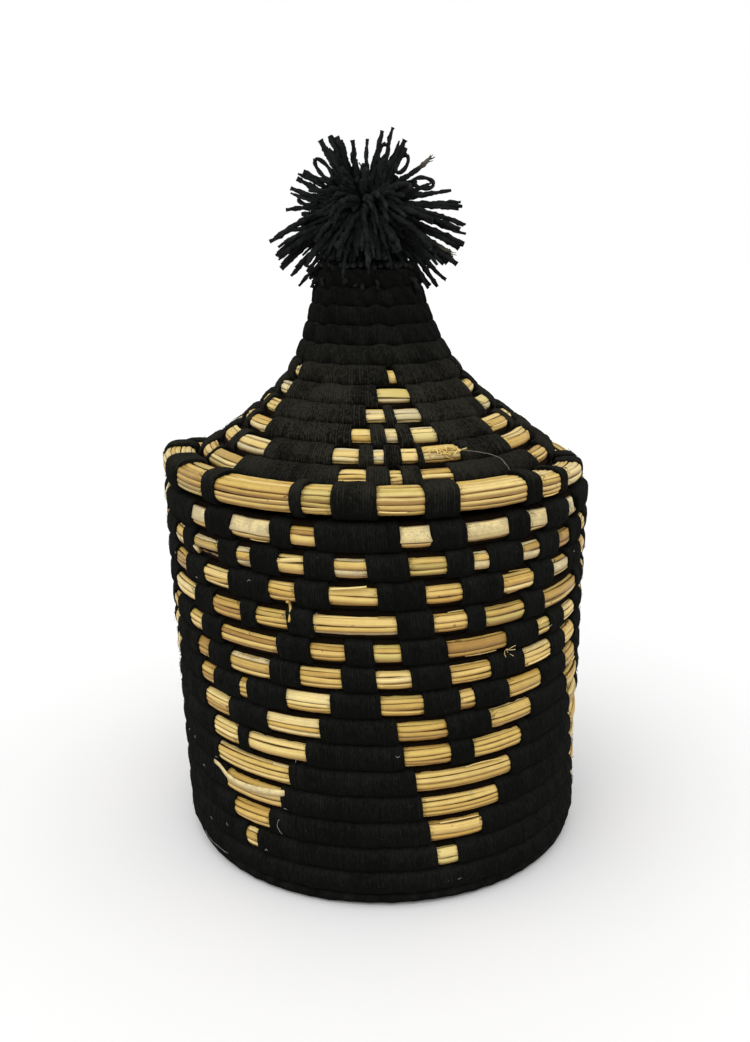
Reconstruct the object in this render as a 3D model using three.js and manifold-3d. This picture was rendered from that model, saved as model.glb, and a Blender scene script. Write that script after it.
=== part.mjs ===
// Lidded basket, coiled from straw bundles that black wool wraps, with a yarn pompom on its lid.
// Millimetres, +Z up, origin on the floor under the basket's axis, front towards -Y.

import * as THREE from 'three';
import { mergeVertices } from 'three/addons/utils/BufferGeometryUtils.js';
import Module from 'manifold-3d';

// Clearances
const SEAT_GAP = 0.3; // between two solids that rest on each other
const TURN_GAP = 0.45; // between neighbouring turns of a straight-sided coil
const LID_TURN_GAP = 0.8; // between turns along the lid's hollow curve, which closes up outwards
const COLLAR_PLAY = 2.2; // the lid's collar inside the basket's mouth, all round

// Coils in general
const CLIMB_TURN = 0.25; // share of a turn, at the back, in which a row climbs to the next
const THINNEST_END = 0.45; // half height at which a tapered end stops
const WALL_STEPS = 24; // straight steps in a turn of the wall and the rim
const INNER_STEPS = 16; // straight steps in a turn of the base, collar, lid and neck

// Overall widths, which the wall's rows run between
const RIM_RADIUS = 100;
const BASE_RADIUS = 94;

// Base
const BASE_THICKNESS = 6.5;
const BASE_TURNS = 9;
const BASE_EYE_RADIUS = 5.43; // inner edge of the first turn
const BASE_PITCH = (BASE_RADIUS - BASE_EYE_RADIUS + TURN_GAP) / BASE_TURNS;
const BASE_KNOT_SHOULDER = 0.8; // height of the knot's edge as a share of the base's thickness

// Wall
const WALL_TURNS = 14;
const WALL_PITCH = 12.1;
const WALL_THICKNESS = 12.8;
const FOOT_OVERHANG = 2.4; // of the wall's first row past the base
const WALL_FOOT_RADIUS = BASE_RADIUS + FOOT_OVERHANG;
const RIM_OVERHANG = 0.4; // of the lid's rim row past the wall's top row
const WALL_MOUTH_RADIUS = RIM_RADIUS - RIM_OVERHANG;

// Lid rim and collar
const RIM_HEIGHT = 14;
const RIM_WIDTH = 16.2;
const COLLAR_HEIGHT = 10.4;
const COLLAR_WIDTH = 9.2;

// Lid cone and neck, one coil along a flaring curve, thinning towards the top
const LID_TURNS = 11;
const LID_FIRST_HEIGHT = 11.6; // of the first row, along the curve
const LID_THINNING = 0.45; // how much less each row's pitch is than that of the row below
const LID_TOP_SETBACK = 2.7; // middle of the topmost row before the end of the curve
const LID_THICKNESS = 10.6; // of the first row
const LID_RISE_OVER_RIM = 3.6; // first row's middle over the rim row's middle
const NECK_RADIUS = 19.4; // end of the curve
const LID_RISE = 80.7; // from the first row's middle to the top of the curve
const LID_START_PULL = new THREE.Vector2(-35, 26);
const LID_END_PULL = new THREE.Vector2(10.7, -47.6);

// Pompom and what holds it
const POMPOM_RISE = 23.6; // centre over the top of the lid's curve
const POMPOM_HALF_WIDTH = 44;
const POMPOM_HALF_HEIGHT = 35;
const POMPOM_HEART_RADIUS = 20;
const YARN_RADIUS = 1.5;
const YARN_TIP_RADIUS = 1.1;
const YARN_DROOP = THREE.MathUtils.degToRad(18);
const YARN_SIDES = 3;
const SHORTEST_STRAND = 0.78; // as a share of the longest
const HANGING_TILT = THREE.MathUtils.degToRad(-36); // strands steeper than this stop above the neck
const HEART_CUT = 0.46; // height of the cuts between tufts as a share of the heart's radius
const HEART_ARC_STEPS = 4;
const CORD_RADIUS = 2.6;
const KNOT_DOME = 1.5;
const STOP_KNOT_RADIUS = 5.5;
const TIE_WIDTH = 3;
const TIE_HEIGHT = 3.4;
const CORD_SIDES = 8;
const KNOT_SIDES = 12;

const WOOL = { color: 0x12120f, roughness: 0.95, metalness: 0 };
const YARN = { color: 0x15151a, roughness: 0.97, metalness: 0 };

// A coil's row section: flat faces either towards its neighbours or towards what it rests on
const FLAT_TO_NEIGHBOUR = [[-1, -0.5], [-1, 0.5], [0, 1], [1, 0.5], [1, -0.5], [0, -1]];
const FLAT_TO_FLOOR = [[-1, 0], [-0.5, 1], [0.5, 1], [1, 0], [0.5, -1], [-0.5, -1]];

const wasm = await Module();
wasm.setup();

function named(name, geometry, look) {
  geometry.computeVertexNormals();
  const material = new THREE.MeshStandardMaterial({ ...look, flatShading: true });
  const mesh = new THREE.Mesh(geometry, material);
  mesh.name = name;
  return mesh;
}

// Share of the way to the next row at the share u of a turn
function climbed(u) {
  const x = THREE.MathUtils.clamp((u - 1 + CLIMB_TURN) / CLIMB_TURN, 0, 1);
  return x * x * (3 - 2 * x);
}

// Where the middle of a row lies along the coil's path, and half of the row's own height there
function rowPlace(coil, row) {
  return coil.pitch * row - (coil.thinning * row * row) / 2;
}

function rowHalf(coil, row) {
  return (coil.pitch - coil.thinning * row - coil.gap) / 2;
}

function rowDepth(coil, row) {
  return coil.thickness * Math.sqrt(rowHalf(coil, row) / rowHalf(coil, 0));
}

// The section's corners about its middle, as [radius, height]
function sectionPoints(section, way, tall, deep) {
  return section.map(([a, b]) => [
    a * tall * way.x + b * deep * way.y,
    a * tall * way.y - b * deep * way.x,
  ]);
}

// One row section at turn t, as points [radius, height]; the two ends taper into the climb beside them
function rowSection(coil, t) {
  const row = Math.min(Math.floor(t), coil.turns - 1);
  const share = climbed(t - row);
  let low = rowPlace(coil, row + share) - rowHalf(coil, row + share);
  let high = rowPlace(coil, row + share) + rowHalf(coil, row + share);
  if (t < 0) {
    high = rowPlace(coil, share) - rowHalf(coil, share) - coil.gap;
    low = -rowHalf(coil, 0);
  }
  if (t > coil.turns - CLIMB_TURN) {
    low = rowPlace(coil, row - 1 + share) + rowHalf(coil, row - 1 + share) + coil.gap;
    high = rowPlace(coil, row) + rowHalf(coil, row);
  }
  const tall = (high - low) / 2;
  if (tall < THINNEST_END) {
    return null;
  }
  const whole = rowDepth(coil, Math.max(row + share, 0)) / 2;
  const narrowing = Math.min(Math.sqrt(tall / rowHalf(coil, Math.max(row, 0))), 1);
  const deep = coil.fullDepthEnds ? whole : whole * narrowing;
  const { point, way } = coil.path((high + low) / 2);
  return sectionPoints(coil.section, way, tall, deep).map(([r, z]) => [point.x + r, point.y + z]);
}

function coilSections(coil) {
  const sections = [];
  const climbSteps = coil.steps * CLIMB_TURN;
  for (let i = -climbSteps; i <= coil.turns * coil.steps; i += 1) {
    const points = rowSection(coil, i / coil.steps);
    if (points) {
      sections.push({ step: i, points });
    }
  }
  return sections;
}

function pointToEdge(p, a, b) {
  const edge = new THREE.Vector2(b[0] - a[0], b[1] - a[1]);
  const reach = new THREE.Vector2(p[0] - a[0], p[1] - a[1]);
  const share = THREE.MathUtils.clamp(reach.dot(edge) / edge.lengthSq(), 0, 1);
  return reach.sub(edge.multiplyScalar(share)).length();
}

// Least distance between each section and the one a whole turn later
function leastGap(coil, sections) {
  const byStep = new Map(sections.map((section) => [section.step, section.points]));
  let least = Infinity;
  for (const { step, points } of sections) {
    const next = byStep.get(step + coil.steps);
    if (next) {
      for (const [one, other] of [[points, next], [next, points]]) {
        for (const p of one) {
          other.forEach((a, i) => {
            least = Math.min(least, pointToEdge(p, a, other[(i + 1) % other.length]));
          });
        }
      }
    }
  }
  return least;
}

// Joins rings of equally many points into one closed body
function skin(rings) {
  const sides = rings[0].length;
  const positions = rings.flat().flatMap((p) => [p.x, p.y, p.z]);
  const index = [];
  for (let ring = 0; ring + 1 < rings.length; ring += 1) {
    for (let side = 0; side < sides; side += 1) {
      const a = ring * sides + side;
      const b = ring * sides + ((side + 1) % sides);
      index.push(a, b, b + sides, a, b + sides, a + sides);
    }
  }
  const last = (rings.length - 1) * sides;
  for (let side = 1; side + 1 < sides; side += 1) {
    index.push(0, side + 1, side);
    index.push(last, last + side, last + side + 1);
  }
  if (signedVolume(positions, index) < 0) {
    index.reverse();
  }
  const geometry = new THREE.BufferGeometry();
  geometry.setAttribute('position', new THREE.Float32BufferAttribute(positions, 3));
  geometry.setIndex(index);
  return geometry;
}

function signedVolume(positions, index) {
  let volume = 0;
  for (let i = 0; i < index.length; i += 3) {
    const [a, b, c] = [0, 1, 2].map((k) => new THREE.Vector3().fromArray(positions, index[i + k] * 3));
    volume += a.dot(b.cross(c)) / 6;
  }
  return volume;
}

// One unbroken tube; its rows rise clockwise seen from above and climb behind the basket
function coilGeometry(coil) {
  const sections = coilSections(coil);
  const first = Math.PI * (0.5 + 2 * (1 - CLIMB_TURN / 2));
  const rings = sections.map(({ step, points }) => {
    const angle = first - (2 * Math.PI * step) / coil.steps;
    return points.map(([r, z]) => new THREE.Vector3(r * Math.cos(angle), r * Math.sin(angle), z));
  });
  console.log(`${coil.name}: least gap between its turns ${leastGap(coil, sections).toFixed(2)} mm`);
  return skin(rings);
}

function straightPath(start, end) {
  const way = end.clone().sub(start).normalize();
  return (along) => ({ point: start.clone().addScaledVector(way, along), way });
}

// Along the curve, and straight on past its two ends
function curvePath(curve) {
  const whole = curve.getLength();
  return (along) => {
    const share = THREE.MathUtils.clamp(along / whole, 0, 1);
    const way = curve.getTangentAt(share);
    return { point: curve.getPointAt(share).addScaledVector(way, along - share * whole), way };
  };
}

// The nearest that a faceted ring of this many steps comes to the axis
function flatRadius(radius, steps) {
  return radius * Math.cos(Math.PI / steps);
}

function lathe(points, segments) {
  const outline = points.map(([r, z]) => new THREE.Vector2(r, z));
  const geometry = new THREE.LatheGeometry(outline, segments);
  geometry.rotateX(Math.PI / 2);
  geometry.deleteAttribute('normal');
  geometry.deleteAttribute('uv');
  return mergeVertices(geometry, 0.001);
}

function toSolid(geometry) {
  const merged = mergeVertices(geometry, 0.001);
  return new wasm.Manifold(new wasm.Mesh({
    numProp: 3,
    vertProperties: merged.getAttribute('position').array,
    triVerts: new Uint32Array(merged.getIndex().array),
  }));
}

function toGeometry(solid) {
  const mesh = solid.getMesh();
  const geometry = new THREE.BufferGeometry();
  geometry.setAttribute('position', new THREE.Float32BufferAttribute(mesh.vertProperties, 3));
  geometry.setIndex([...mesh.triVerts]);
  return geometry;
}

// Heights and radii that pieces share
const baseHalfPitch = (BASE_PITCH - TURN_GAP) / 2;
const baseFirstRadius = BASE_RADIUS - baseHalfPitch - (BASE_TURNS - 1) * BASE_PITCH;
const wallHalfPitch = (WALL_PITCH - TURN_GAP) / 2;
const wallFoot = new THREE.Vector2(
  WALL_FOOT_RADIUS - WALL_THICKNESS / 2,
  BASE_THICKNESS + SEAT_GAP + wallHalfPitch,
);
const wallRise = (WALL_TURNS - 1) * WALL_PITCH;
const wallMouth = new THREE.Vector2(WALL_MOUTH_RADIUS - WALL_THICKNESS / 2, wallFoot.y + wallRise);
const mouthHeight = wallMouth.y + wallHalfPitch;
const rimMiddle = new THREE.Vector2(
  RIM_RADIUS - RIM_WIDTH / 2,
  mouthHeight + SEAT_GAP + RIM_HEIGHT / 2,
);
const rimInnerRadius = flatRadius(RIM_RADIUS - RIM_WIDTH, WALL_STEPS);

// The lid's first row lies against the rim row, and the lid's coil then follows a flaring curve
const lidFirstWay = LID_START_PULL.clone().normalize();
const lidFirstCorners = sectionPoints(
  FLAT_TO_NEIGHBOUR,
  lidFirstWay,
  LID_FIRST_HEIGHT / 2,
  LID_THICKNESS / 2,
);
const lidFirstReach = Math.max(...lidFirstCorners.map(([r]) => r));
const lidFirst = new THREE.Vector2(
  rimInnerRadius - SEAT_GAP - lidFirstReach,
  rimMiddle.y + LID_RISE_OVER_RIM,
);
const lidTop = new THREE.Vector2(NECK_RADIUS, lidFirst.y + LID_RISE);
const lidCurve = new THREE.CubicBezierCurve(
  lidFirst,
  lidFirst.clone().add(LID_START_PULL),
  lidTop.clone().add(LID_END_PULL),
  lidTop,
);
const pompomCentre = new THREE.Vector3(0, 0, lidTop.y + POMPOM_RISE);
lidCurve.arcLengthDivisions = 400;
const lidLastRow = LID_TURNS - 1;
const lidReach = lidCurve.getLength() - LID_TOP_SETBACK;
const lidCoil = {
  name: 'lid_coil',
  turns: LID_TURNS,
  pitch: (lidReach + (LID_THINNING * lidLastRow ** 2) / 2) / lidLastRow,
  thinning: LID_THINNING,
  gap: LID_TURN_GAP,
  thickness: LID_THICKNESS,
  steps: INNER_STEPS,
  fullDepthEnds: false,
  section: FLAT_TO_NEIGHBOUR,
  path: curvePath(lidCurve),
};
const lidUnderside = Math.min(...coilSections(lidCoil).flatMap(({ points }) => points.map(([, z]) => z)));
const topRowHalf = rowHalf(lidCoil, lidLastRow);
const topRow = lidCoil.path(rowPlace(lidCoil, lidLastRow)).point;
const neckTop = topRow.y + topRowHalf;

function buildBase() {
  const coil = {
    name: 'base_coil',
    turns: BASE_TURNS,
    pitch: BASE_PITCH,
    thinning: 0,
    gap: TURN_GAP,
    thickness: BASE_THICKNESS,
    steps: INNER_STEPS,
    fullDepthEnds: false,
    section: FLAT_TO_FLOOR,
    path: straightPath(
      new THREE.Vector2(baseFirstRadius, BASE_THICKNESS / 2),
      new THREE.Vector2(BASE_RADIUS, BASE_THICKNESS / 2),
    ),
  };
  const knotRadius = flatRadius(baseFirstRadius - baseHalfPitch, INNER_STEPS) - SEAT_GAP;
  const shoulder = BASE_THICKNESS * BASE_KNOT_SHOULDER;
  const knot = lathe([[0, 0], [knotRadius, 0], [knotRadius, shoulder], [0, BASE_THICKNESS]], KNOT_SIDES);
  return [named('base_coil', coilGeometry(coil), WOOL), named('base_start_knot', knot, WOOL)];
}

function buildWall() {
  const coil = {
    name: 'wall_coil',
    turns: WALL_TURNS,
    pitch: WALL_PITCH,
    thinning: 0,
    gap: TURN_GAP,
    thickness: WALL_THICKNESS,
    steps: WALL_STEPS,
    fullDepthEnds: true,
    section: FLAT_TO_NEIGHBOUR,
    path: straightPath(wallFoot, wallMouth),
  };
  return [named('wall_coil', coilGeometry(coil), WOOL)];
}

function upright(middle) {
  return straightPath(middle, middle.clone().add(new THREE.Vector2(0, 1)));
}

function buildRimAndCollar() {
  const rim = {
    name: 'lid_rim_coil',
    turns: 1,
    pitch: RIM_HEIGHT + TURN_GAP,
    thinning: 0,
    gap: TURN_GAP,
    thickness: RIM_WIDTH,
    steps: WALL_STEPS,
    fullDepthEnds: true,
    section: FLAT_TO_NEIGHBOUR,
    path: upright(rimMiddle),
  };
  const mouthInnerRadius = flatRadius(WALL_MOUTH_RADIUS - WALL_THICKNESS, WALL_STEPS);
  const collarMiddle = new THREE.Vector2(
    mouthInnerRadius - COLLAR_PLAY - COLLAR_WIDTH / 2,
    lidUnderside - SEAT_GAP - COLLAR_HEIGHT / 2,
  );
  const collar = {
    name: 'lid_collar_coil',
    turns: 1,
    pitch: COLLAR_HEIGHT + TURN_GAP,
    thinning: 0,
    gap: TURN_GAP,
    thickness: COLLAR_WIDTH,
    steps: INNER_STEPS,
    fullDepthEnds: true,
    section: FLAT_TO_NEIGHBOUR,
    path: upright(collarMiddle),
  };
  return [rim, collar].map((coil) => named(coil.name, coilGeometry(coil), WOOL));
}

// The knot plugs the neck up to the tie, and the pompom's cord passes through it to a stop knot below
function buildTop() {
  const neckBore = topRow.x - rowDepth(lidCoil, lidLastRow) / 2;
  const plugRadius = flatRadius(neckBore, INNER_STEPS) - SEAT_GAP;
  const boreRadius = CORD_RADIUS + SEAT_GAP;
  const cordTop = pompomCentre.z - POMPOM_HEART_RADIUS - SEAT_GAP;
  const tieTop = cordTop - SEAT_GAP;
  const tieFoot = tieTop - TIE_HEIGHT;
  const plugFoot = topRow.y - topRowHalf;
  const plugTop = tieFoot - SEAT_GAP - KNOT_DOME;
  const plug = lathe([
    [boreRadius, plugFoot],
    [plugRadius, plugFoot],
    [plugRadius, plugTop],
    [boreRadius, plugTop + KNOT_DOME],
    [boreRadius, plugFoot],
  ], INNER_STEPS);
  const cordFoot = plugFoot - SEAT_GAP;
  const cord = lathe([
    [0, cordFoot],
    [CORD_RADIUS, cordFoot],
    [CORD_RADIUS, cordTop],
    [0, cordTop],
  ], CORD_SIDES);
  const stopKnot = new THREE.IcosahedronGeometry(STOP_KNOT_RADIUS, 1);
  stopKnot.deleteAttribute('normal');
  stopKnot.deleteAttribute('uv');
  stopKnot.translate(0, 0, cordFoot - SEAT_GAP - STOP_KNOT_RADIUS);
  const tie = lathe([
    [boreRadius, tieFoot],
    [boreRadius + TIE_WIDTH, (tieFoot + tieTop) / 2],
    [boreRadius, tieTop],
    [boreRadius, tieFoot],
  ], KNOT_SIDES);
  return [
    named('lid_top_knot', plug, WOOL),
    named('pompom_cord', cord, YARN),
    named('pompom_stop_knot', mergeVertices(stopKnot, 0.001), YARN),
    named('pompom_tie', tie, YARN),
  ];
}

// A point at this distance from the pompom's heart on the way of a strand that leaves it at this tilt
function alongStrand(turn, tilt, distance) {
  const share = Math.max(distance - POMPOM_HEART_RADIUS, 0) / (POMPOM_HALF_WIDTH - POMPOM_HEART_RADIUS);
  const slope = tilt - YARN_DROOP * share ** 2;
  return new THREE.Vector3(
    distance * Math.cos(slope) * Math.cos(turn),
    distance * Math.cos(slope) * Math.sin(turn),
    distance * Math.sin(slope),
  );
}

function strandLength(tilt, spread) {
  const slope = tilt - YARN_DROOP;
  const reach = 1 / Math.hypot(Math.cos(slope) / POMPOM_HALF_WIDTH, Math.sin(slope) / POMPOM_HALF_HEIGHT);
  const roomBelow = pompomCentre.z - neckTop - 2 * YARN_RADIUS;
  const room = tilt < HANGING_TILT ? roomBelow / Math.sin(-tilt) : Infinity;
  return Math.min(reach * spread, room);
}

function strandGeometry(turn, tilt, length) {
  const start = POMPOM_HEART_RADIUS - YARN_RADIUS;
  const stations = [
    [start, YARN_RADIUS],
    [(POMPOM_HEART_RADIUS + length) / 2, YARN_RADIUS],
    [length, YARN_TIP_RADIUS],
  ];
  const across = new THREE.Vector3(-Math.sin(turn), Math.cos(turn), 0);
  const rings = stations.map(([distance, radius]) => {
    const middle = alongStrand(turn, tilt, distance);
    const up = middle.clone().normalize().cross(across);
    return Array.from({ length: YARN_SIDES }, (_, corner) => {
      const angle = (corner * 2 * Math.PI) / YARN_SIDES;
      return middle.clone()
        .addScaledVector(across, radius * Math.cos(angle))
        .addScaledVector(up, radius * Math.sin(angle))
        .add(pompomCentre);
    });
  });
  return skin(rings);
}

// An even but irregular spread of shares between 0 and 1
function mixed(strand, row, tuft) {
  const golden = (Math.sqrt(5) - 1) / 2;
  return (strand * golden + row / 3 + tuft / 2) % 1;
}

// A slice of the heart between two heights over its centre, as a lathe outline along the ball
function heartSlice(low, high) {
  const outline = [[0, low]];
  for (let i = 0; i <= HEART_ARC_STEPS; i += 1) {
    const z = low + ((high - low) * i) / HEART_ARC_STEPS;
    const r = Math.sqrt(Math.max(POMPOM_HEART_RADIUS ** 2 - z ** 2, 0));
    if (r > SEAT_GAP) {
      outline.push([r, z]);
    }
  }
  outline.push([0, high]);
  return lathe(outline.map(([r, z]) => [r, z + pompomCentre.z]), INNER_STEPS);
}

// Each tuft is one slice of the heart with rows of strands, given as tilt in degrees and count
function buildPompom() {
  const cut = POMPOM_HEART_RADIUS * HEART_CUT;
  const tufts = [
    { low: -POMPOM_HEART_RADIUS, high: -cut - SEAT_GAP / 2, rows: [[-62, 7], [-45, 11]] },
    { low: -cut + SEAT_GAP / 2, high: -SEAT_GAP / 2, rows: [[-19, 14], [-9, 14]] },
    { low: SEAT_GAP / 2, high: cut - SEAT_GAP / 2, rows: [[9, 14], [19, 14]] },
    { low: cut + SEAT_GAP / 2, high: POMPOM_HEART_RADIUS, rows: [[44, 11], [62, 8], [80, 4]] },
  ];
  return tufts.map((tuft, number) => {
    let solid = toSolid(heartSlice(tuft.low, tuft.high));
    tuft.rows.forEach(([degrees, count], row) => {
      const tilt = THREE.MathUtils.degToRad(degrees);
      for (let i = 0; i < count; i += 1) {
        const turn = (2 * Math.PI * (i + row / 2 + number / 4)) / count;
        const spread = SHORTEST_STRAND + (1 - SHORTEST_STRAND) * mixed(i, row, number);
        solid = solid.add(toSolid(strandGeometry(turn, tilt, strandLength(tilt, spread))));
      }
    });
    return named(`pompom_tuft_${number + 1}`, toGeometry(solid), YARN);
  });
}

const basket = new THREE.Group();
basket.add(...buildBase(), ...buildWall());

const lid = new THREE.Group();
lid.add(...buildRimAndCollar());
lid.add(named(lidCoil.name, coilGeometry(lidCoil), WOOL));
lid.add(...buildTop(), ...buildPompom());

const object = new THREE.Group();
object.add(basket, lid);

export default object;
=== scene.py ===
"""Lidded basket, coiled from straw bundles that black wool yarn wraps, with a pompom on its lid.

Metres, +Z up, front towards -Y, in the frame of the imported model.
"""

import math

import bpy
import numpy as np
from mathutils import Euler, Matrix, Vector


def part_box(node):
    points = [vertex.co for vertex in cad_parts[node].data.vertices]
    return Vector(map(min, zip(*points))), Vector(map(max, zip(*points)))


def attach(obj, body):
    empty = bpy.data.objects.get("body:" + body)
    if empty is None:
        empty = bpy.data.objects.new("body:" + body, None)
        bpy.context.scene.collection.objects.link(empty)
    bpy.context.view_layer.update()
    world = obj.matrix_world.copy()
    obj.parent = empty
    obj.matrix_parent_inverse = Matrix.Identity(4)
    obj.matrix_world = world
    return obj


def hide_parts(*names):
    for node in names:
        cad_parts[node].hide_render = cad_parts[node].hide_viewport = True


bl_info = {
    "name": "Lidded coiled basket",
    "version": (1, 0, 0),
    "blender": (4, 5, 0),
    "location": "3D View > Sidebar > Basket",
    "description": "Builds a coiled basket of straw and black wool with a flaring lid and a pompom",
    "category": "Add Mesh",
}

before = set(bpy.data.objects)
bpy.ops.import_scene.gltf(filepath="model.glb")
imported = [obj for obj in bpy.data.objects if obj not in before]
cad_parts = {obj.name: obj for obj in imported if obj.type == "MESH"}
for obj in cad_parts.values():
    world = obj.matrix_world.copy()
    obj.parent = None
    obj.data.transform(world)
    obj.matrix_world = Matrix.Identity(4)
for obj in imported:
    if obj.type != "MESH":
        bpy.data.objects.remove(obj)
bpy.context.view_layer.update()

# Photograph
PHOTO_WIDTH = 750
PHOTO_HEIGHT = 1042
FOCAL_PIXELS = 1113
AXIS_COLUMN = 379.1  # where the basket's axis crosses the middle of the picture
CAMERA_DISTANCE = 0.5197
CAMERA_HEIGHT = 0.2924
CAMERA_PITCH = math.radians(15.37)
CAMERA_ROLL = math.radians(-0.30)
SENSOR_LONG_SIDE = 36.0

# Light: a white floor takes about as much as shows it white
ROOM_LIGHT = 0.78
SUNS = (("key", (0.35, 0.55, -1.0), 70, 1.15), ("fill", (-0.8, 0.5, -0.7), 80, 0.35))
WHITE = (1, 1, 1)
FLOOR_PALE = (0.93, 0.93, 0.93)
FLOOR_DARKER = (0.86, 0.86, 0.86)
FLOOR_REACH = 6.0

# The basket isn't quite upright: sideways shift by height
LEAN_HEIGHTS = (0, 0.100, 0.183, 0.200, 0.225, 0.240, 0.265, 0.330)
LEAN_SHIFTS = (0.0012, -0.0007, -0.0013, 0.0002, -0.0016, -0.0033, -0.0047, -0.0040)

# The wall's rows aren't quite even: how far each height sinks
DROP_HEIGHTS = (0, 0.004, 0.024, 0.060, 0.100, 0.128, 0.150, 0.175)
DROPS = (0, 0, 0.0019, 0.0010, 0.0011, 0.0020, 0.0010, 0.0008)

# Coils in general
CLIMB_SHARE = 0.25  # of a turn, at the back, in which a row climbs to the next
COIL_SETBACK = 0.03  # turns that the tapered ends stop short
START_AZIMUTH = math.radians(45)
FRONT_FROM_START = 135.0  # degrees round the basket from the front to where turns start
SECTION_POINTS = 22
RIM_SECTION_POINTS = 30
SQUARENESS = 3.0  # of the bundle's section, where 2 is an ellipse

# The lid's rim thins at the back, most on the right, where its coil starts
DIP_DEGREES = (40, 92, 135, 215, 245, 275)
DIP_STRENGTHS = (0, 1, 0.5, 0.5, 0.8, 0)
DIP_SHARE = 0.55  # of the height that goes
DIP_INWARDS = 0.002

# Wool wraps
RINGS_PER_WRAP = 2
VALLEY_DEPTH = 0.00015
CREST_MARKS = (0.35, 1.0)
CREST_LIFTS = (-0.7, 1.0)  # in valley depths
SHOULDER_LENGTH = 0.0014
SHOULDER_DROP = 0.0006
WRAP_SLANT = 0.0005
SLANT_SHARES = (0.4, 1.4)
CAP_SCALE = 0.5
LEAST_BAND = 0.0005  # turns
ROW_OVERLAP = 0.0001
WOOL_SWELL = 0.0003
WOOL_UNEVENNESS = 0.00016
NECK_UNEVENNESS = 0.0007
CONE_OVERLAP = (0.0003, 0.0009)  # of rows that sink into each other, below and at the neck
LUMP_LENGTH = 0.0035
LUMP_WAVES = (1, 2, 3)  # round the section
LUMP_STEP = 0.6  # by which each wave is shorter along the coil
HAIR_RADIUS = 0.00009
HAIR_THICKNESSES = (0.5, 1.3)  # in hair radii
HAIR_POINTS = 4
HAIR_SIDES = 3
HAIR_ANGLES = (-1.3, 1.7)  # round the section, from its outside up
HAIR_BEND = 0.1
HAIR_GAP = 0.00015
HAIR_LIFTS = (0.0001, 0.0007)
HAIRS_PER_BAND = 9  # by HAIR_BAND of wool
HAIR_BAND = 0.01
BAND_HAIR_REACH = 0.0005
BAND_HAIR_DRIFT = 0.55
HAIRS_PER_EDGE = 14
EDGE_HAIR_ROOTS = (0, 0.0008)  # back from where the straw starts
EDGE_HAIR_REACHES = (0.0005, 0.0021)
EDGE_HAIR_DRIFT = 0.12

# Finishes: depth of relief, and colours laid over the ones that a user sets, some of them painted
# light and shade
FIBRE_RELIEF = 0.0004
GRAIN_RELIEF = 0.00025
CORE_RELIEF = 0.0005
WOOL_ROUGHNESS = 0.9
# Wool on the lid: partly dust, partly painted light on its upward faces
LID_DUST_AND_LIGHT = (0.027, 0.0255, 0.0185)
WOOL_SPECK = (0.35, 0.33, 0.28)
PITH_TONE = 0.8  # reeds of a higher tone show their pith
STRAW_WARMTH = (0.86, 0.72, 0.44)
STRAW_GREEN = (0.50, 0.47, 0.14)
STRAW_LINES = (0.42, 0.25, 0.09)
STRAW_STAIN = (0.22, 0.10, 0.035)
# Painted shade at each reed's sides and underside, between reeds
STRAW_EDGE_SHADE = (0.12, 0.06, 0.018)
# Painted shade on straw that faces down, most at the rim's bottom
STRAW_UNDERSIDE_SHADE = (0.32, 0.19, 0.08)
PITH_PORES = (0.34, 0.27, 0.17)
PITH_WORN = (0.44, 0.34, 0.17)
WORN_TIP = (0.16, 0.14, 0.11)
LINT = (0.5, 0.47, 0.40)

# Heights where finishes and painted light and shade change, each with the softness of its edge
LID_EDGES = ((0.192, 0.010), (0.222, 0.020))
DUST_AND_LIGHT_EDGES = ((0.185, 0.012), (0.235, 0.020))
NECK_EDGE = (0.235, 0.015)
RIM_EDGE = (0.1815, 0.002)
CONE_EDGE = (0.194, 0.003)

# Reeds
REED_SIDES = 8
REED_STEP = 0.003
REED_START = 0.001  # how far from a window's top its first reed may lie
LEAST_REED = 0.0008
BROAD_WIDTHS = (0.0034, 0.0050)
SLIM_WIDTHS = (0.0018, 0.0032)
FACE_WIDTHS = (0.9, 1.1)  # in widths of the split faces below
FACES_CHANCE = 0.85
THICKNESS_SHARE = 0.66  # of the width
MOST_THICKNESS = 0.0019
REED_GAPS = (-0.00015, 0.00008)
REED_LEAN = 0.00018
REED_WANDER = 0.00010
REED_WAVES = (0.4, 1.1)
REED_LIFT = 0.00012
REED_RIPPLE = 0.00004
REED_SWELL = 0.02
REED_SQUARENESS = (2.3, 2.9)  # of slim and of broad reeds
REED_NUDGE = 0.0002  # either way along the section, for its slope
REED_TONES = (2.6, 2.2)  # the spread's two shape numbers
PITH_TONES = (0.86, 1.0)
WINDOW_MOOD = 0.12  # how far windows differ in tone
WINDOW_HUE = 0.6  # share of the hue that a window's reeds have in common
BREAKABLE_LENGTH = 0.006
CUT_SHARES = (0.45, 0.85)
BROKEN_LIFT = 0.0009
TUCKED_END = 0.0015
CORE_INSET = 0.0028
CORE_ROUGHNESS = 0.0002
CORE_SETBACK = 0.02  # turns, from the coil's ends
REED_INSET = 0.0009  # where a window ends, under the wool
REED_TALL_INSET = 0.0020  # the same towards the rows above and below
REED_FULL_INSET = 0.0014  # the same from row 6 down, where whole diamonds are bare
REED_EDGE_INSET = 0.0016  # the same on a row with none above or below
REED_BULGE = 0.0008  # more in the middle of a long window
BULGING_LENGTH = 0.012
PLAIN_REEDS = (0.24, 0.05)  # share of broad reeds, and of pith among them
LEAST_HUE = 0.05  # of a window on the wall
YELLOW_HUE = 0.3  # the same on the lid, where few are orange
SPLIT_FACES = {  # widths from a window's top over its outside, and whether pith shows
    1: ((0.0022, False), (0.0070, True), (0.0030, False)),
    2: ((0.0044, True), (0.0034, False), (0.0040, True)),
}
SLIVER_WINDOW = 0.02  # length that the number of slivers is given for
SLIVER_REACHES = (0.35, 0.9)  # in windows
SLIVER_POINTS = 6
SLIVER_SIDES = 5
SLIVER_ANGLE = 1.3
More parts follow.
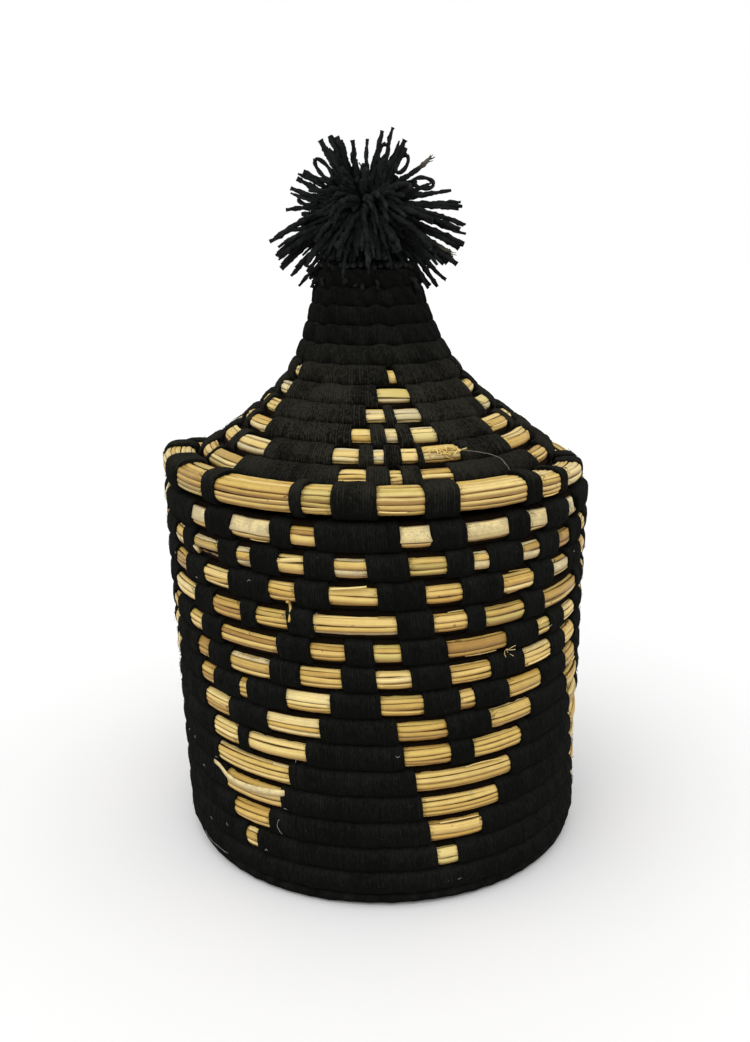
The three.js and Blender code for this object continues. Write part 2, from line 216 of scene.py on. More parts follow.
SLIVER_SLANT = 0.05
SLIVER_LIFT = 0.0004
SLIVER_BOW = 0.0002
SLIVER_RADII = (0.0002, 0.00045)
SLIVER_TONES = (0.3, 0.85)


def widest(node, low, high):
    """Largest radius of a CAD node's corners between two heights"""
    corners = [v.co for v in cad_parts[node].data.vertices if low <= v.co.z <= high]
    return max(math.hypot(co.x, co.y) for co in corners)


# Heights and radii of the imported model
BASE_LOW, BASE_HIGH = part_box("base_coil")
WALL_LOW, WALL_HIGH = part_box("wall_coil")
RIM_LOW, RIM_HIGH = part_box("lid_rim_coil")
COLLAR_LOW, COLLAR_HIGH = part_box("lid_collar_coil")
CONE_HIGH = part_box("lid_coil")[1]
KNOT_LOW, KNOT_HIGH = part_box("lid_top_knot")
CORD_LOW, CORD_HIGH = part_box("pompom_cord")
STOP_LOW, STOP_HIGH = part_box("pompom_stop_knot")
TIE_LOW, TIE_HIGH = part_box("pompom_tie")
START_LOW, START_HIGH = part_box("base_start_knot")
RIM_MIDDLE = (RIM_LOW.z + RIM_HIGH.z) / 2
POMPOM_MIDDLE = (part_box("pompom_tuft_2")[1].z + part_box("pompom_tuft_3")[0].z) / 2

WALL_ROWS = 14
BASE_ROWS = 9
CONE_ROWS = 11
WALL_DEPTH = 0.0128
RIM_DEPTH = 0.0162
COLLAR_DEPTH = 0.0092
CONE_DEPTH = 0.0106
CONE_THINNING = 0.00045
CONE_FIRST_REACH = 0.0062  # of the first row past its middle
CONE_START_OVER_RIM = 0.0036
CONE_TOP_SETBACK = 0.0027
CONE_RISE = 0.0807
NECK_RADIUS = 0.0184
CONE_START_PULL = (-0.035, 0.026)
CONE_END_PULL = (0.0107, -0.0476)
BASE_EYE_RADIUS = 0.0054

# Bare straw windows seen from the front, in degrees round the basket (right positive), by the
# row counted down from the lid's rim; the rest of each row follows the repeating motif below
FRONT_WINDOWS = {
    1: ((-53, -47), (-37.5, -26), (-20.5, -14.5), (5.5, 12.5), (21.5, 33), (40, 46.5), (57, 63.5)),
    2: (
        (-65, -59), (-53, -42.5), (-36, -32), (-24, -17.5), (-10, -2.5),
        (7.5, 16.5), (23.5, 27.5), (38, 44), (52.5, 59),
    ),
    3: ((-66.5, -58.5), (-49, -39.5), (-27, -20), (-11.5, 0), (11.5, 20.5), (32, 42), (50.5, 58.5)),
    4: ((-69, -54.5), (-46, -36), (-31, -22.5), (-15.5, 4.5), (13.5, 22), (27, 39), (47, 65.5)),
    5: ((-58.5, -52), (-43.5, -25.5), (-16.5, -8), (-1, 5.5), (17, 33.5), (45, 50), (57.5, 66)),
    6: ((-55, -49.5), (-40.5, -28), (-19.5, -9), (-0.5, 8), (18, 29), (40, 51)),
    7: ((-54, -48), (-38, -35.5), (-23.5, -12), (0.5, 11), (20.5, 24.5), (35, 47)),
    8: ((-53, -42.5), (-29.5, -15), (4.5, 17), (29.5, 43)),
    9: ((-50, -40), (-36, -19), (6, 18), (24.5, 39.5)),
    10: ((-49, -24), (9, 36)),
    11: ((-46, -27), (10.5, 32)),
    12: ((-43.5, -31), (12.5, 27)),
    13: ((-39.5, -35.5), (14.5, 20)),
}

# Half of the motif, which its axis mirrors and every 60 degrees repeat
MOTIF_REPEAT = 60
WALL_MOTIF = {
    1: ((0, 6), (13.5, 20.5)),
    2: ((0, 2.2), (10, 18), (26.4, 30)),
    3: ((6.5, 15.5), (24, 30)),
    4: ((2, 11), (20.5, 30)),
    5: ((0, 9), (19, 27)),
    6: ((0, 6), (16, 25)),
    7: ((0, 1.7), (12.5, 24)),
    8: ((6.5, 20),),
    9: ((2.5, 17),),
    10: ((0, 13.5),),
    11: ((0, 10.5),),
    12: ((0, 7.5),),
    13: ((0, 2.7),),
}
WALL_MOTIF_AXIS = -37
WALL_MOTIF_DRIFT = 0.5  # degrees a row
WALL_MIDDLE_ROW = 7  # where the drift starts from, either way
WALL_WOBBLE = 0.6  # degrees, of the windows behind
CONE_FRONT_WINDOWS = {
    0: ((-81.5, -69), (-67.5, -48.5), (-11.5, -3.5), (3.5, 7), (13, 22.5), (58.5, 72)),
    1: ((-82, -67), (-61, -43), (-16, -7), (-2, 1.5), (7.5, 13), (15, 28.5), (52, 75)),
    2: ((-84, -76), (-71, -53), (-11, -3.5), (2.5, 7), (13, 23), (51, 69)),
    3: ((-86, -78), (-72, -58), (-5.5, 3), (8, 20), (61, 76)),
    4: ((-74, -60), (0.5, 18), (64, 80)),
    5: ((-67, -60), (8.5, 13), (73, 78)),
}
CONE_MOTIF = {
    0: ((0, 1.8), (8, 17)),
    1: ((2.3, 7.2), (10, 22)),
    2: ((0, 2.2), (8, 17.5)),
    3: ((2.2, 14),),
    4: ((0, 8.8),),
    5: ((0, 2.4),),
}
CONE_MOTIF_AXIS = 5.0
CONE_MOTIF_DRIFT = 1.0
CONE_WOBBLE = 0.4
WINDOW_CLEAR = 3  # degrees, between the front's windows and those behind
MERGED_GAP = 0.002  # turns
RIM_WINDOWS = (
    (-126, -108), (-101, -92), (-85, -71), (-61, -47.5), (-42.5, -20.5), (-17.5, -10.5), (0, 11),
    (19.5, 38.5), (44, 53), (57, 74), (81, 89), (95, 113), (118, 127), (138, 150), (160, 172),
    (-148, -137), (-172, -158),
)

# Pompom: strands seen against the background, as bearings in degrees from the right, upwards,
# reaches from the heart in the picture's plane, and how many strands lie with them
OUTLINE_STRANDS = (
    (123, 0.038, 3), (117, 0.0375, 3), (111, 0.036, 2), (101.5, 0.0325, 0), (89.7, 0.0325, 0),
    (78.4, 0.0365, 0), (71, 0.039, 0), (63.2, 0.0363, 1), (56.3, 0.0336, 1), (42.9, 0.0377, 0),
    (24, 0.0325, 1), (14.6, 0.0394, 0), (2.8, 0.0434, 2), (-4.5, 0.0452, 2), (-10.5, 0.0462, 1),
    (-18, 0.0462, 3), (-28.2, 0.0468, 4), (-37.4, 0.0465, 2), (-44, 0.0455, 2), (149, 0.0352, 2),
    (161.4, 0.0358, 1), (178, 0.0362, 0), (191.4, 0.0449, 1), (203, 0.0445, 4), (210, 0.0452, 3),
    (218, 0.0434, 2), (226.5, 0.0439, 2),
)
OUTLINE_RADIUS = 0.0016
OUTLINE_SPREAD = 0.04
OUTLINE_DEPTH = 0.1
FELLOW_REACHES = (0.86, 0.99)
OUTLINE_ARCH = 0.07  # how far the strands at the sides rise before they droop
HEART_SHIFT = -0.0008
HEART_RISE = 0.0050
WORN_STRAND = 42.9  # its tip is pale
GOLDEN_TURN = math.pi * (3 - math.sqrt(5))
LOWEST_TILT = math.radians(-66)
TUFT_EDGES = [math.radians(a) for a in (-90, -32, 0, 30, 90)]
TUFT_NAMES = ("lowest", "lower", "upper", "crown")
STRAND_POINTS = 18
STRAND_SIDES = 9
STRAND_RADII = (0.85, 1.15)
STRAND_TIPS = (0.4, 0.55, 0.7, 0.85)
STRAND_SHAG = 0.09
STRAND_BENDS = (0.02, 0.07)  # of strands on the outline, and of the others
STRAND_RIPPLE = 0.018
STRAND_WAVES = 7
SAG_POWER = 2.2
CLUMP_PULLS = (0.2, 1)
SEEN_REACHES = (0.55, 0.82)  # in reaches of the outline
LEAST_FLAT = 0.05
LEAST_LENGTH = 0.72  # share of the pompom's reach
LENGTH_SPREAD = (3, 1.4)  # the spread's two shape numbers
EVEN_SAG = 0.2
EVEN_SAGS = (0.4, 1.2)
FILLING_SAG = 0.1
SKIRT_STRANDS = 150
SKIRT_TILTS = (math.radians(-82), math.radians(-25))
SKIRT_REACHES = (0.022, 0.031)
INNER_RISE = 0.0025  # of the heart that the strands in front and behind spread from
STUFFING_STRANDS = 220  # short and thick, which close the middle
STUFFING_TILTS = (math.radians(-75), math.radians(60))
STUFFING_REACHES = (0.013, 0.024)
STUFFING_RADIUS = 0.0019
FRONT_SAG = 0.6  # of strands that would point at the viewer, which droop over the rest
FRONT_SHORTER = 0.3
SKIRT_SHORTER = 0.3  # in front, where the neck's top row shows
SKIRT_WAY = -0.4  # how far down a strand points from which it counts as skirt
DRAPE_HEIGHT = 0.004  # over the neck's top row, up to which strands go round the neck

# Yarn that turns back on itself: bearing and distance of its middle from the heart, half its
# length and width, and the bearing that it lies at
YARN_LOOPS = (
    (28, 0.0290, 0.0046, 0.0023, -8), (54, 0.0270, 0.0042, 0.0022, 60),
    (74, 0.0272, 0.0042, 0.0020, 76), (134, 0.0272, 0.0058, 0.0021, 131),
    (166, 0.0268, 0.0044, 0.0020, 172),
)
LOOP_RADIUS = 0.0011
LOOP_POINTS = 30

# Yarn ends that lie flat on the neck's top, round the cord
SPLAYED_ENDS = 44
SPLAYED_POINTS = 12
SPLAYED_START = 0.003  # from the axis
SPLAYED_REACHES = (0.86, 1.02)  # in radii of the neck's top row
SPLAYED_RISE = (0.0068, 0.0052)  # over the top row's middle, at the cord and at the edge
SPLAYED_LIFT = 0.0015
SPLAYED_TONE = 0.3

# Fibres past a strand's cut end
FRAY_FIBRES = 4
FRAY_RADIUS = 0.0003
FRAY_REACHES = (0.0015, 0.0026)
FRAY_SPREAD = 0.35
FRAY_INSET = 0.001

# Wound yarn: radius and number of loops
BASE_KNOT_YARN = (0.0007, 26)
PLUG_YARN = (0.0009, 60)
STOP_KNOT_YARN = (0.0009, 18)
TIE_YARN = (0.0006, 30)
BORE_CLEARANCE = 0.0003  # round the pompom's cord
WOUND_SIDES = 6
RING_STEPS = 14  # to a loop
RING_TURNS = 1.02
BALL_STEPS = 16
BALL_TILTS = 1.618 * 2
BALL_SWIRLS = 1.31
CORD_POINTS = 14

# Loose straws on the wall: radius, flatness, tone, then places as the row down from the rim,
# degrees, share up the row and lift in mm
LOOSE_STRAWS = (
    (0.0006, 0.8, 0.3, ((3, -21.8, -0.5, 0.6), (3, -21.5, -0.95, 1.4), (4, -21.3, 0.15, 1.0))),
    (0.0008, 0.6, 0.75, ((3, -11, 0.6, 0.2), (3, -6.5, 0.72, 0.8), (3, -2.5, 0.85, 1.6))),
    (0.0019, 0.3, 0.88, (
        (11, -51.5, 0.8, 0.3), (11, -46, 0.65, 0.9), (11, -40.5, 0.42, 1.3),
        (11, -32.5, 0.5, 1.2), (11, -25.5, 0.68, 0.4),
    )),
    (0.0002, 0.8, 0.8, ((5, 34, -0.75, 0.4), (5, 34.6, -0.5, 1.0), (5, 35.2, -0.35, 1.8))),
    (0.0002, 0.8, 0.8, ((5, 34, -0.75, 0.4), (5, 34.9, -0.8, 1.0), (5, 36, -0.8, 1.6))),
    (0.0002, 0.8, 0.7, ((5, 34, -0.75, 0.4), (5, 33.6, -0.95, 1.0), (6, 33, 0.8, 1.6))),
    (0.0002, 0.8, 0.7, ((5, 34, -0.75, 0.4), (6, 34.6, 0.95, 1.0), (6, 35.3, 0.75, 1.6))),
    (0.0002, 0.8, 0.8, ((5, 34, -0.75, 0.4), (5, 33.4, -0.6, 0.8), (5, 32.6, -0.55, 1.2))),
    (0.0005, 0.6, 0.6, ((10, 22, 0.8, 0.2), (10, 27, 0.9, 0.9), (10, 33, 0.8, 0.6))),
    (0.0005, 0.6, 0.7, ((12, 15, 0.8, 0.2), (12, 20, 0.85, 0.9), (12, 26, 0.8, 0.3))),
)
FRAYED_PLACE = (1, 24.5, -0.3, 0.1)
FRAYED_FIBRES = 20
FRAYED_STARTS = (-5, 4)  # degrees from the place
FRAYED_RADII = (0.0002, 0.0005)
FRAYED_TONES = (0.0, 0.45)
LINT_RADIUS = 0.00010
LINT_SIDES = 5
THREAD_RIPPLE = 0.00008
FLUFF_RIPPLE = 0.0001
LID_THREADS = (
    (
        (1, 28, -0.3, 1.2), (1, 34.5, -0.7, 1.5), (0, 40, 0.6, 1.5), (0, 41.5, -0.2, 1.2),
        (0, 43, -0.85, 1.2),
    ),
)
WALL_THREADS = (
    ((14, -61, -0.3, 0.8), (14, -55, -0.5, 1.2), (14, -48, -0.6, 0.6)),
    ((12, -27.5, 0.5, 0.6), (12, -27.8, 0, 1.0), (12, -26.8, -0.6, 0.6)),
    ((4, -14.6, 0.9, 1.0), (4, -15, 0.4, 1.5), (4, -14.2, 0.2, 0.9)),
)
SPECKS = 60
SPECK_ROWS = (3, 15)
SPECK_UPS = (-0.6, 0.8)
SPECK_STEPS = (0, 0.4, 0.9)  # degrees

# Where each build step's random numbers start
SEEDS = {"wall": 11, "base": 12, "rim": 13, "cone": 14, "knots": 15, "pompom": 16, "loose": 17}


class Path:
    """A line in the radial plane; places on it are found by their distance along it"""

    def __init__(self, points):
        self.points = np.array(points, float)
        steps = np.diff(self.points, axis=0)
        lengths = np.hypot(steps[:, 0], steps[:, 1])
        self.marks = np.concatenate([[0], np.cumsum(lengths)])
        self.way_marks = (self.marks[:-1] + self.marks[1:]) / 2
        self.ways = steps / lengths[:, None]

    @property
    def length(self):
        return self.marks[-1]

    def at(self, along):
        """Radius, height and the line's way there"""
        inside = np.clip(along, 0, self.length)
        way_r = np.interp(inside, self.way_marks, self.ways[:, 0])
        way_z = np.interp(inside, self.way_marks, self.ways[:, 1])
        size = np.hypot(way_r, way_z)
        way_r, way_z = way_r / size, way_z / size
        past = along - inside
        radius = np.interp(inside, self.marks, self.points[:, 0]) + way_r * past
        height = np.interp(inside, self.marks, self.points[:, 1]) + way_z * past
        return radius, height, way_r, way_z


def flaring_curve(start, start_pull, end, end_pull, samples=300):
    """Points of a cubic curve in the radial plane"""
    corners = np.array([start, np.add(start, start_pull), np.add(end, end_pull), end])
    u = np.linspace(0, 1, samples)[:, None]
    weights = ((1 - u) ** 3, 3 * u * (1 - u) ** 2, 3 * u * u * (1 - u), u**3)
    return sum(weight * corner for weight, corner in zip(weights, corners))


class Coil:
    """A straw bundle laid in rows that run level in front and climb to the next row at the back.

    Places along it are in turns from where its first row starts to be whole."""

    def __init__(self, rows, height, depth, path, thinning=0.0, points=SECTION_POINTS, dips=False):
        self.rows = rows
        self.height = height
        self.depth = depth
        self.path = path
        self.thinning = thinning
        self.points = points
        self.dips = dips
        self.start = -CLIMB_SHARE + COIL_SETBACK
        self.end = rows - COIL_SETBACK

    def along(self, row):
        return self.height * row - self.thinning * row * row / 2

    def half(self, row):
        return (self.height - self.thinning * row) / 2

    def section(self, turns):
        """Middle, way, half height and half depth of the bundle at these places"""
        row = np.minimum(np.floor(turns), self.rows - 1)
        rise = np.clip((turns - row - 1 + CLIMB_SHARE) / CLIMB_SHARE, 0, 1)
        rise = rise * rise * (3 - 2 * rise)
        here = row + rise
        low = self.along(here) - self.half(here)
        high = self.along(here) + self.half(here)
        first = turns < 0
        low = np.where(first, -self.half(0), low)
        high = np.where(first, self.along(rise) - self.half(rise), high)
        last = turns > self.rows - CLIMB_SHARE
        low = np.where(last, self.along(here - 1) + self.half(here - 1), low)
        high = np.where(last, self.along(row) + self.half(row), high)
        dip = self.dip(turns)
        low, high = (edge - (edge + self.half(0)) * dip * DIP_SHARE for edge in (low, high))
        radius, height, way_r, way_z = self.path.at((low + high) / 2)
        tall = (high - low) / 2
        whole = self.depth / 2 * np.sqrt(self.half(np.maximum(here, 0)) / self.half(0))
        deep = whole * np.minimum(np.sqrt(tall / self.half(np.maximum(row, 0))), 1)
        return radius - dip * DIP_INWARDS, height, way_r, way_z, tall, deep

    def girth(self, turns):
        """Half height and half depth of the bundle"""
        return self.section(turns)[4:]

    def dip(self, turns):
        """0 to 1: how far the coil is thinned on the side where it starts"""
        if not self.dips:
            return 0.0
        degrees = (FRONT_FROM_START - 360 * turns + 90) % 360 - 90
        return np.interp(degrees, DIP_DEGREES, DIP_STRENGTHS)

    def azimuth(self, turns):
        return START_AZIMUTH - math.tau * turns

    def unevenness(self, turns):
        """Strength of the wool's lumps and how far its rows overlap, more where the coil thins"""
        if not self.thinning:
            return WOOL_UNEVENNESS + 0 * turns, ROW_OVERLAP + 0 * turns
        share = np.clip(turns / self.rows, 0, 1) ** 2
        lumpy = WOOL_UNEVENNESS + (NECK_UNEVENNESS - WOOL_UNEVENNESS) * share
        return lumpy, CONE_OVERLAP[0] + (CONE_OVERLAP[1] - CONE_OVERLAP[0]) * share

    def place(self, turns, out, up):
        """Points in space: out of the basket and up along the path from the bundle's middle"""
        radius, height, way_r, way_z, *_ = self.section(turns)
        r = radius + out * way_z + up * way_r
        z = height - out * way_r + up * way_z
        angle = self.azimuth(turns)
        return np.stack([r * np.cos(angle), r * np.sin(angle), z + 0 * angle], axis=-1)

    def radius(self, turns):
        return float(self.path.at(self.along(max(math.floor(turns), 0)))[0])

    def round_trip(self, turns):
        """Length of one turn there"""
        return math.tau * self.radius(turns)

    def turns_at(self, row, degrees):
        """Where on the coil a row, counted from its start, is at these degrees from the front"""
        return row + (FRONT_FROM_START - degrees) / 360


def angles_round(count):
    """Even steps once round a circle"""
    return np.linspace(0, math.tau, count, endpoint=False)


def rounded(angles, squareness=SQUARENESS):
    """Out and up, from -1 to 1, round a bundle's section"""
    out, up = np.cos(angles), np.sin(angles)
    power = 2 / squareness
    return np.sign(out) * np.abs(out) ** power, np.sign(up) * np.abs(up) ** power


class Skin:
    """Collects tubes into one mesh, with numbers at its points that its material reads"""

    def __init__(self):
        self.points = []
        self.quads = []
        self.triangles = []
        self.marks = {}
        self.count = 0

    def hairs(self, rings, **marks):
        """Open tubes of one size: tubes by rings by points by xyz"""
        grid = self.count + np.arange(rings[..., 0].size).reshape(rings.shape[:-1])
        after = np.roll(grid, -1, axis=2)
        quads = np.stack([grid[:, :-1], grid[:, 1:], after[:, 1:], after[:, :-1]], axis=-1)
        self.points.append(rings.reshape(-1, 3))
        self.quads.append(quads.reshape(-1, 4))
        for name, value in marks.items():
            spread = np.broadcast_to(np.asarray(value, float), grid.shape).reshape(-1)
            self.marks.setdefault(name, []).append(spread)
        self.count += grid.size
        return grid, after

    def tube(self, rings, **marks):
        """One tube, rings by points by xyz, whose ends are closed with a fan"""
        grid, after = self.hairs(rings[None], **marks)
        self.points.append(np.stack([rings[0].mean(axis=0), rings[-1].mean(axis=0)]))
        for name in marks:
            self.marks[name].append(self.marks[name][-1][[0, -1]])
        for ring, step in ((0, 1), (-1, -1)):
            centre = np.full(rings.shape[1], self.count)
            fan = np.stack([centre, grid[0, ring], after[0, ring]], axis=-1)
            self.triangles.append(fan[:, ::step])
            self.count += 1

    def piece(self, name, body, material, replaces=(), slot=None):
        """The mesh as a named object that rides on a body"""
        points = np.concatenate(self.points).astype(np.float32)
        points[:, 0] += np.interp(points[:, 2], LEAN_HEIGHTS, LEAN_SHIFTS)
        if body == "basket":
            points[:, 2] -= np.interp(points[:, 2], DROP_HEIGHTS, DROPS)
        quads, triangles = np.concatenate(self.quads), np.concatenate(self.triangles)
        mesh = bpy.data.meshes.new(name)
        mesh.vertices.add(len(points))
        mesh.vertices.foreach_set("co", points.ravel())
        corners = np.concatenate([quads.ravel(), triangles.ravel()]).astype(np.int32)
        sizes = np.repeat((4, 3), (len(quads), len(triangles))).astype(np.int32)
        mesh.loops.add(len(corners))
        mesh.loops.foreach_set("vertex_index", corners)
        mesh.polygons.add(len(sizes))
        mesh.polygons.foreach_set("loop_start", (np.cumsum(sizes) - sizes).astype(np.int32))
        mesh.polygons.foreach_set("loop_total", sizes)
        mesh.polygons.foreach_set("use_smooth", np.ones(len(sizes), bool))
        for mark, values in self.marks.items():
            layer = mesh.attributes.new(mark, "FLOAT", "POINT")
            layer.data.foreach_set("value", np.concatenate(values).astype(np.float32))
        mesh.update(calc_edges=True)
        mesh.validate()
        mesh.materials.append(material)
        thing = bpy.data.objects.new(name, mesh)
        bpy.context.scene.collection.objects.link(thing)
        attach(thing, body)
        if replaces:
            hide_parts(*replaces)


def lumps(turns, angles, rng, strength, per_turn):
    """Unevenness along a coil and round its section"""
    total = 0
    for step, around in enumerate(LUMP_WAVES):
        along = math.tau * (per_turn * (1 + LUMP_STEP * step) * turns + rng.random())
        total = total + np.sin(along[:, None] + around * angles[None, :] * rng.choice((-1, 1)))
    return total * strength[:, None] / 2


def wrap(skin, coil, first, last, wrap_width, rng):
    """Wool yarn wound round the bundle from one place to another"""
    radius = coil.radius(first)
    round_trip = coil.round_trip(first)
    wraps = max(int(round(round_trip * (last - first) / wrap_width)), 2)
    count = RINGS_PER_WRAP * wraps + 1
    turns = np.linspace(first, last, count)
    from_end = np.minimum(turns - first, last - turns) * math.tau * radius
    valley = np.arange(count) % RINGS_PER_WRAP == 0
    # crest marks each ring for the material: 0 in the valleys, a random share on the crests; the
    # lighter crests are painted highlight and the dark valleys painted shade, with a real tone that
    # differs from wrap to wrap
    crest = np.where(valley, 0.0, rng.uniform(*CREST_MARKS, count))
    lift = np.where(valley, -VALLEY_DEPTH, rng.uniform(*CREST_LIFTS, count) * VALLEY_DEPTH)
    lift -= SHOULDER_DROP * (1 - np.clip(from_end / SHOULDER_LENGTH, 0, 1)) ** 2
    lift += WOOL_SWELL
    turns, lift = (np.pad(values, 1, mode="edge") for values in (turns, lift))
    crest = np.pad(crest, 1)[:, None]
    scale = np.pad(np.ones(count), 1, constant_values=CAP_SCALE)[:, None]
    angles = angles_round(coil.points)
    out, up = rounded(angles)
    lumpy, overlap = coil.unevenness(turns)
    lift = lift[:, None] + lumps(turns, angles, rng, lumpy, radius / LUMP_LENGTH)
    slant = WRAP_SLANT * rng.uniform(*SLANT_SHARES) / round_trip
    tall, deep = coil.girth(turns[:, None])
    rings = coil.place(
        turns[:, None] + slant * up[None, :],
        scale * out[None, :] * (deep + lift),
        scale * up[None, :] * (tall + lift + overlap[:, None]),
    )
    skin.tube(rings, crest=crest)


def thin_tubes(coil, turns, out, up, thick, sides):
    """Rings round lines on a coil, placed by turns and by out and up from the bundle's middle"""
    theta = angles_round(sides)
    return coil.place(
        turns[..., None],
        out[..., None] + np.cos(theta) * thick,
        up[..., None] + np.sin(theta) * thick,
    )


def add_hairs(skin, coil, bands, rng):
    """Loose wool fibres: some stand off the bands across the coil, some lie over the straw at
    the bands' ends"""
    spots, reaches, drifts = [], [], []
    for first, last in bands:
        round_trip = coil.round_trip(first)
        loose = rng.poisson(HAIRS_PER_BAND * round_trip * (last - first) / HAIR_BAND)
        spots.append(rng.uniform(first, last, loose))
        reaches.append(rng.normal(0, BAND_HAIR_REACH, loose) / round_trip)
        drifts.append(rng.uniform(-BAND_HAIR_DRIFT, BAND_HAIR_DRIFT, loose))
        for edge, way in ((first, -1), (last, 1)):
            count = rng.poisson(HAIRS_PER_EDGE)
            spots.append(edge - way * rng.uniform(*EDGE_HAIR_ROOTS, count) / round_trip)
            reaches.append(way * rng.uniform(*EDGE_HAIR_REACHES, count) / round_trip)
            drifts.append(rng.normal(0, EDGE_HAIR_DRIFT, count))
    spots, reaches, drifts = (np.concatenate(part)[:, None] for part in (spots, reaches, drifts))
    s = np.linspace(0, 1, HAIR_POINTS)[None, :]
    turns = spots + reaches * s
    tall, deep = coil.girth(turns)
    bends = rng.normal(0, HAIR_BEND, spots.shape)
    out, up = rounded(rng.uniform(*HAIR_ANGLES, spots.shape) + drifts * s + bends * s * s)
    lift = HAIR_GAP + rng.uniform(*HAIR_LIFTS, spots.shape) * s**1.5
    thick = HAIR_RADIUS * rng.uniform(*HAIR_THICKNESSES, spots.shape)[..., None]
    out, up = out * (deep + lift), up * (tall + lift)
    # Loose fibres take the full crest colour: a painted highlight on the fuzz
    skin.hairs(thin_tubes(coil, turns, out, up, thick, HAIR_SIDES), crest=1.0)


def lay_core(skin, coil, rng, first, last):
    """The bundle's middle, which shows between reeds; its near-black colour is painted shade"""
    count = max(int(coil.round_trip(first) * (last - first) / REED_STEP), 3)
    turns = np.linspace(first, last, count)[:, None]
    out, up = rounded(angles_round(coil.points // 2))
    tall, deep = coil.girth(turns)
    rough = rng.uniform(-CORE_ROUGHNESS, CORE_ROUGHNESS, (count, len(out)))
    above = -CORE_INSET if coil.rows == 1 else ROW_OVERLAP
    rings = coil.place(
        turns,
        out[None, :] * (deep - CORE_INSET + rough),
        up[None, :] * (tall + above),
    )
    skin.tube(rings)


def perimeter(tall, deep, samples=160):
    """Arc lengths and corners round a bundle's section, from its top over the outside"""
    angles = math.pi / 2 - np.linspace(0, math.tau, samples)
    out, up = rounded(angles)
    corners = np.stack([out * deep, up * tall], axis=-1)
    steps = np.hypot(*np.diff(corners, axis=0).T)
    return np.concatenate([[0], np.cumsum(steps)]), corners


def lay_reeds(skin, coil, first, last, sizes, rng, shares):
    """Reeds side by side round the bundle, bare between two wraps"""
    broad_share, pith_share, faces, above, least_hue = shares
    round_trip = coil.round_trip(first)
    length = round_trip * (last - first)
    tuck = TUCKED_END / round_trip
    tall, deep = map(float, coil.girth(np.array((first + last) / 2)))
    arcs, corners = perimeter(tall - above, deep - REED_INSET)
    whole = arcs[-1]

    def on_section(arc):
        """Points of the section at these distances round it"""
        arc = np.clip(arc, 0, whole)
        return np.stack([np.interp(arc, arcs, corners[:, k]) for k in (0, 1)], axis=-1)

    bulge = REED_BULGE * min(length / BULGING_LENGTH, 1)
    stations = max(int(length / REED_STEP), 3) + 2
    u = np.linspace(0, 1, stations)
    theta = angles_round(REED_SIDES)
    at = rng.uniform(0, REED_START)
    faces = list(faces) if rng.random() < FACES_CHANCE else []
    mood = rng.normal(0, WINDOW_MOOD)
    window_hue = rng.uniform(least_hue, 1)
    while at < whole - LEAST_REED:
        if faces:
            width, is_pith = faces.pop(0)
            width *= rng.uniform(*FACE_WIDTHS)
            broad = width > SLIM_WIDTHS[1]
        else:
            broad = rng.random() < broad_share
            width = rng.uniform(*(BROAD_WIDTHS if broad else SLIM_WIDTHS))
            is_pith = broad and rng.random() < pith_share
        width = min(width * sizes.reed_scale, whole - at)
        thickness = min(width * THICKNESS_SHARE, MOST_THICKNESS)
        if is_pith:
            tone = rng.uniform(*PITH_TONES)
        else:
            tone = np.clip(rng.beta(*REED_TONES) * PITH_TONE + mood, 0, PITH_TONE)
        hue = WINDOW_HUE * window_hue + (1 - WINDOW_HUE) * rng.random()
        start, end = first - tuck, last + tuck
        broken = length > BREAKABLE_LENGTH and rng.random() < sizes.broken_share
        if broken:
            cut = start + (end - start) * rng.uniform(*CUT_SHARES)
            start, end = (start, cut) if rng.random() < 0.5 else (cut, end)
        lean = rng.normal(0, REED_LEAN)
        wave = u * rng.uniform(*REED_WAVES) + rng.random()
        wander = lean * (2 * u - 1) + REED_WANDER * np.sin(math.tau * wave)
        arc = np.clip(at + width / 2 + wander, 0, whole)
        tangent = on_section(arc + REED_NUDGE) - on_section(arc - REED_NUDGE)
        tangent /= np.hypot(*tangent.T)[:, None]
        normal = np.stack([-tangent[:, 1], tangent[:, 0]], axis=-1)
        raised = bulge * np.sin(math.pi * u) ** 0.4 * normal[:, 0] ** 2
        raised = raised + rng.normal(0, REED_LIFT) + rng.normal(0, REED_RIPPLE, stations)
        if broken:
            raised = raised + BROKEN_LIFT * (u if start == first - tuck else 1 - u) ** 2
        centre = on_section(arc) + normal * (raised - thickness / 2)[:, None]
        flat_out, flat_up = rounded(theta, REED_SQUARENESS[int(broad)])
        swell = 1 + rng.normal(0, REED_SWELL, stations)
        ring = (
            centre[:, None, :]
            + tangent[:, None, :] * (flat_out[None, :, None] * width * 0.5 * swell[:, None, None])
            + normal[:, None, :] * (flat_up[None, :, None] * thickness / 2)
        )
        turns = start + (end - start) * u
        skin.tube(
            coil.place(turns[:, None], ring[..., 0], ring[..., 1]),
            tone=tone,
            along=(u * length + rng.random())[:, None],
            around=(flat_out * width / 2)[None, :],
            # edge: 1 at a reed's sides and its face towards the bundle, where the material paints
            # shade
            edge=np.maximum(np.abs(flat_out), -flat_up)[None, :],
            hue=hue,
        )
        at += width + rng.uniform(*REED_GAPS)
    lay_slivers(skin, coil, first, last, sizes, rng, above)


def lay_fibre(skin, rings, tone, rng, hue=0.6):
    """A splinter of straw, too thin for grain and edges of its own"""
    skin.tube(rings, tone=tone, along=rng.random(), around=0.0, edge=0.0, hue=hue)


